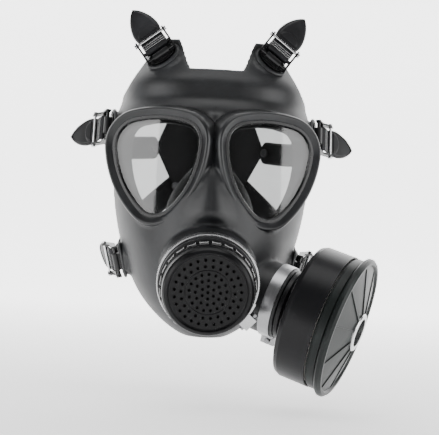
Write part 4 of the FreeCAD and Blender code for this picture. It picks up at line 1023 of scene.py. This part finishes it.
# ---------------------------------------------------------------- harness
class RESPIRATOR_OT_straps(bpy.types.Operator):
    """Build the six straps with their leaf-shaped pull tabs"""
    bl_idname = "respirator.straps"
    bl_label = "Straps"

    def execute(self, context):
        harness = context.scene.respirator_harness
        half, thick = harness.width / MM / 2, harness.thickness / MM / 2
        for kind in STRAPS:
            for side in SIDES:
                self.build(kind, side, harness, half, thick)
        return {"FINISHED"}

    def build(self, kind, side, harness, half, thick):
        body = f"{kind}_{side}_buckle"
        points, faces = band(run_stations(kind, side, half, thick))
        run = new_piece(f"strap_run_{kind}_{side}", points, faces, LOOKS["strap_rubber"])
        place = strap_placement(kind, side)
        course = strap_course(kind, side)
        far = course(0.3)[0]
        far * MM
        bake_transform(run)
        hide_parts(f"strap_{kind}_{side}")
        points, faces = band(front_stations(kind, side, harness), 28)
        front = new_piece(f"strap_front_{kind}_{side}", points, faces, LOOKS["strap_rubber"])
        settle(front, body, "strap_rubber")
        turn = place.to_3x3()
        spots = []
        top = BAR.z + BAR_R + FIT + (1.0 + LOOP_SHARE) * thick + 0.1
        for k in range(harness.ribs):
            spot = Vector((0.0, BAR.y + 0.6 + RIB_PITCH * k, top + RIB_CLIMB * k))
            spots.append(((place @ spot) * MM, turn @ Vector((0, 0, 1)), turn @ Vector((1, 0, 0))))
        ribs = copies(f"strap_ribs_{kind}_{side}", spots, "bar", (19.5 * MM, 1.1 * MM, 0.5 * MM),
                      LOOKS["strap_rubber"], False)
        settle(ribs, body, "strap_rubber")


class RESPIRATOR_OT_head_pad(bpy.types.Operator):
    """Build the soft rear pad and the domed rivet heads"""
    bl_idname = "respirator.head_pad"
    bl_label = "Head pad"

    def execute(self, context):
        pad = softened_copy("head_pad", "soft_head_pad", LOOKS["strap_rubber"], 0.0011, 4)
        settle(pad, FACE_BODY, "strap_rubber", "head_pad")
        spots = []
        for kind in STRAPS:
            for side in SIDES:
                point, out = strap_course(kind, side)(0.94)
                along = out.cross(Vector((0.0, 0.0, 1.0))).normalized()
                spots.append(((point + out * 2.55) * MM, out, along))
        domes = copies("rivet_domes", spots, "dome", (7.4 * MM, 7.4 * MM, 2.2 * MM), LOOKS["screw_steel"])
        settle(domes, FACE_BODY, "screw_steel")
        return {"FINISHED"}


# ---------------------------------------------------------------- stage
def area_light(name, place, target, width, height, power):
    data = bpy.data.lights.new(name, "AREA")
    data.shape = "RECTANGLE"
    data.size = width
    data.size_y = height
    data.energy = power
    lamp = bpy.data.objects.new(name, data)
    bpy.context.scene.collection.objects.link(lamp)
    lamp.location = place
    lamp.rotation_euler = (Vector(target) - Vector(place)).to_track_quat("-Z", "Y").to_euler()
    return lamp


def stage_material():
    """White paper that glows as painted light: dim on the floor in front, full where it rises at the back, in
    place of lamps on the backdrop.
    """
    f = Finish("paper_backdrop")
    place = f.place()
    fibre = f.noise(place, 300.0, 4.0)
    depth = Wire(f, f.node("ShaderNodeSeparateXYZ", None, [place]).socket.node.outputs["Y"])
    # painted light: emission colour dim at the front of the floor and full on the rise, standing in for backdrop
    # lamps
    painted_glow = f.blend(f.span(depth, -0.2, 1.3), (0.25, 0.25, 0.25), (1.0, 1.0, 1.0))
    return f.surface(Base_Color=f.blend(fibre, (0.86, 0.86, 0.86), (0.9, 0.9, 0.9)),
                     Roughness=0.85 + fibre * 0.1, Emission_Color=painted_glow, Emission_Strength=3.0)


class RESPIRATOR_OT_stage(bpy.types.Operator):
    """Set the paper sweep, the softboxes and the camera"""
    bl_idname = "respirator.stage"
    bl_label = "Stage"

    def execute(self, context):
        settings = context.scene.respirator_stage
        low = CAD_BOX[0][2] - settings.floor_drop
        line = [(-3.0, 0.0), (1.0, 0.0)]
        turns = (0.3, 0.6, 0.9, 1.2, math.pi / 2)
        line += [(1.0 + 0.6 * math.sin(a), 0.6 - 0.6 * math.cos(a)) for a in turns]
        line += [(1.6, 3.5)]
        points = [(x, y, low + z) for y, z in line for x in (-3.5, 3.5)]
        faces = [(2 * k, 2 * k + 1, 2 * k + 3, 2 * k + 2) for k in range(len(line) - 1)]
        floor = new_piece("paper_sweep", points, faces, stage_material())
        world = bpy.data.worlds.new("studio")
        world.use_nodes = True
        world.node_tree.nodes["Background"].inputs["Color"].default_value = (1.0, 1.0, 1.0, 1.0)
        world.node_tree.nodes["Background"].inputs["Strength"].default_value = 0.08
        context.scene.world = world
        middle = (0.0, -0.03, 0.0)
        for name, sign, turn in (("softbox_left", -1.0, 62.7), ("softbox_right", 1.0, 65.9)):
            lens = Vector((sign * 0.045, -0.062, 0.024))
            angle = math.radians(turn)
            place = lens + Vector((sign * math.sin(angle), -math.cos(angle), 0.07)) * 1.3
            area_light(name, place, lens, 0.8, 1.2, settings.softbox)
        area_light("overhead", (0.0, -0.35, 1.3), middle, 1.4, 0.7, 9.0)
        area_light("front_fill", (0.0, -1.7, 0.75), middle, 0.9, 0.5, 1.5)
        self.camera(context.scene, settings)
        return {"FINISHED"}

    def camera(self, scene, settings):
        """Camera a little to the wearer's left of straight ahead, rolled so that the mask leans with it."""
        azimuth, roll = math.radians(-1.5), math.radians(2.8)
        forward = Vector((-math.sin(azimuth), math.cos(azimuth), 0.0))
        level = forward.cross(Vector((0.0, 0.0, 1.0)))
        right = level * math.cos(roll) + Vector((0.0, 0.0, math.sin(roll)))
        up = right.cross(forward)
        data = bpy.data.cameras.new("camera")
        data.lens = settings.lens
        data.sensor_width = 36.0
        camera = bpy.data.objects.new("camera", data)
        scene.collection.objects.link(camera)
        bridge = Vector((0.0, -0.072, 0.047))
        spot = bridge - forward * settings.distance + right * 0.00416 - up * 0.06107
        camera.matrix_world = Matrix.Translation(spot) @ Matrix((right, up, -forward)).transposed().to_4x4()
        scene.camera = camera


# ---------------------------------------------------------------- add-on
class RESPIRATOR_PT_panel(bpy.types.Panel):
    """Steps and sizes of the respirator"""
    bl_idname = "RESPIRATOR_PT_panel"
    bl_label = "Respirator"
    bl_space_type = "VIEW_3D"
    bl_region_type = "UI"
    bl_category = "Respirator"

    def draw(self, context):
        for step in STEPS:
            self.layout.operator(step.bl_idname)
        for name in SETTINGS:
            group = getattr(context.scene, name)
            box = self.layout.box()
            for key in group.__annotations__:
                box.prop(group, key)


STEPS = (
    RESPIRATOR_OT_finishes,
    RESPIRATOR_OT_facepiece,
    RESPIRATOR_OT_rims,
    RESPIRATOR_OT_lug_rings,
    RESPIRATOR_OT_inner_cup,
    RESPIRATOR_OT_front_details,
    RESPIRATOR_OT_clamp_details,
    RESPIRATOR_OT_straps,
    RESPIRATOR_OT_head_pad,
    RESPIRATOR_OT_stage,
)
SETTINGS = {
    "respirator_face": FaceSettings,
    "respirator_harness": HarnessSettings,
    "respirator_canister": CanisterSettings,
    "respirator_stage": StageSettings,
}


def register():
    for group in SETTINGS.values():
        bpy.utils.register_class(group)
    for step in STEPS:
        bpy.utils.register_class(step)
    bpy.utils.register_class(RESPIRATOR_PT_panel)
    for name, group in SETTINGS.items():
        setattr(bpy.types.Scene, name, PointerProperty(type=group))


def unregister():
    for name in SETTINGS:
        delattr(bpy.types.Scene, name)
    bpy.utils.unregister_class(RESPIRATOR_PT_panel)
    for step in reversed(STEPS):
        bpy.utils.unregister_class(step)
    for group in SETTINGS.values():
        bpy.utils.unregister_class(group)


def main():
    register()
    for step in STEPS:
        group, name = step.bl_idname.split(".")
        getattr(getattr(bpy.ops, group), name)()


if __name__ == "__main__":
    main()
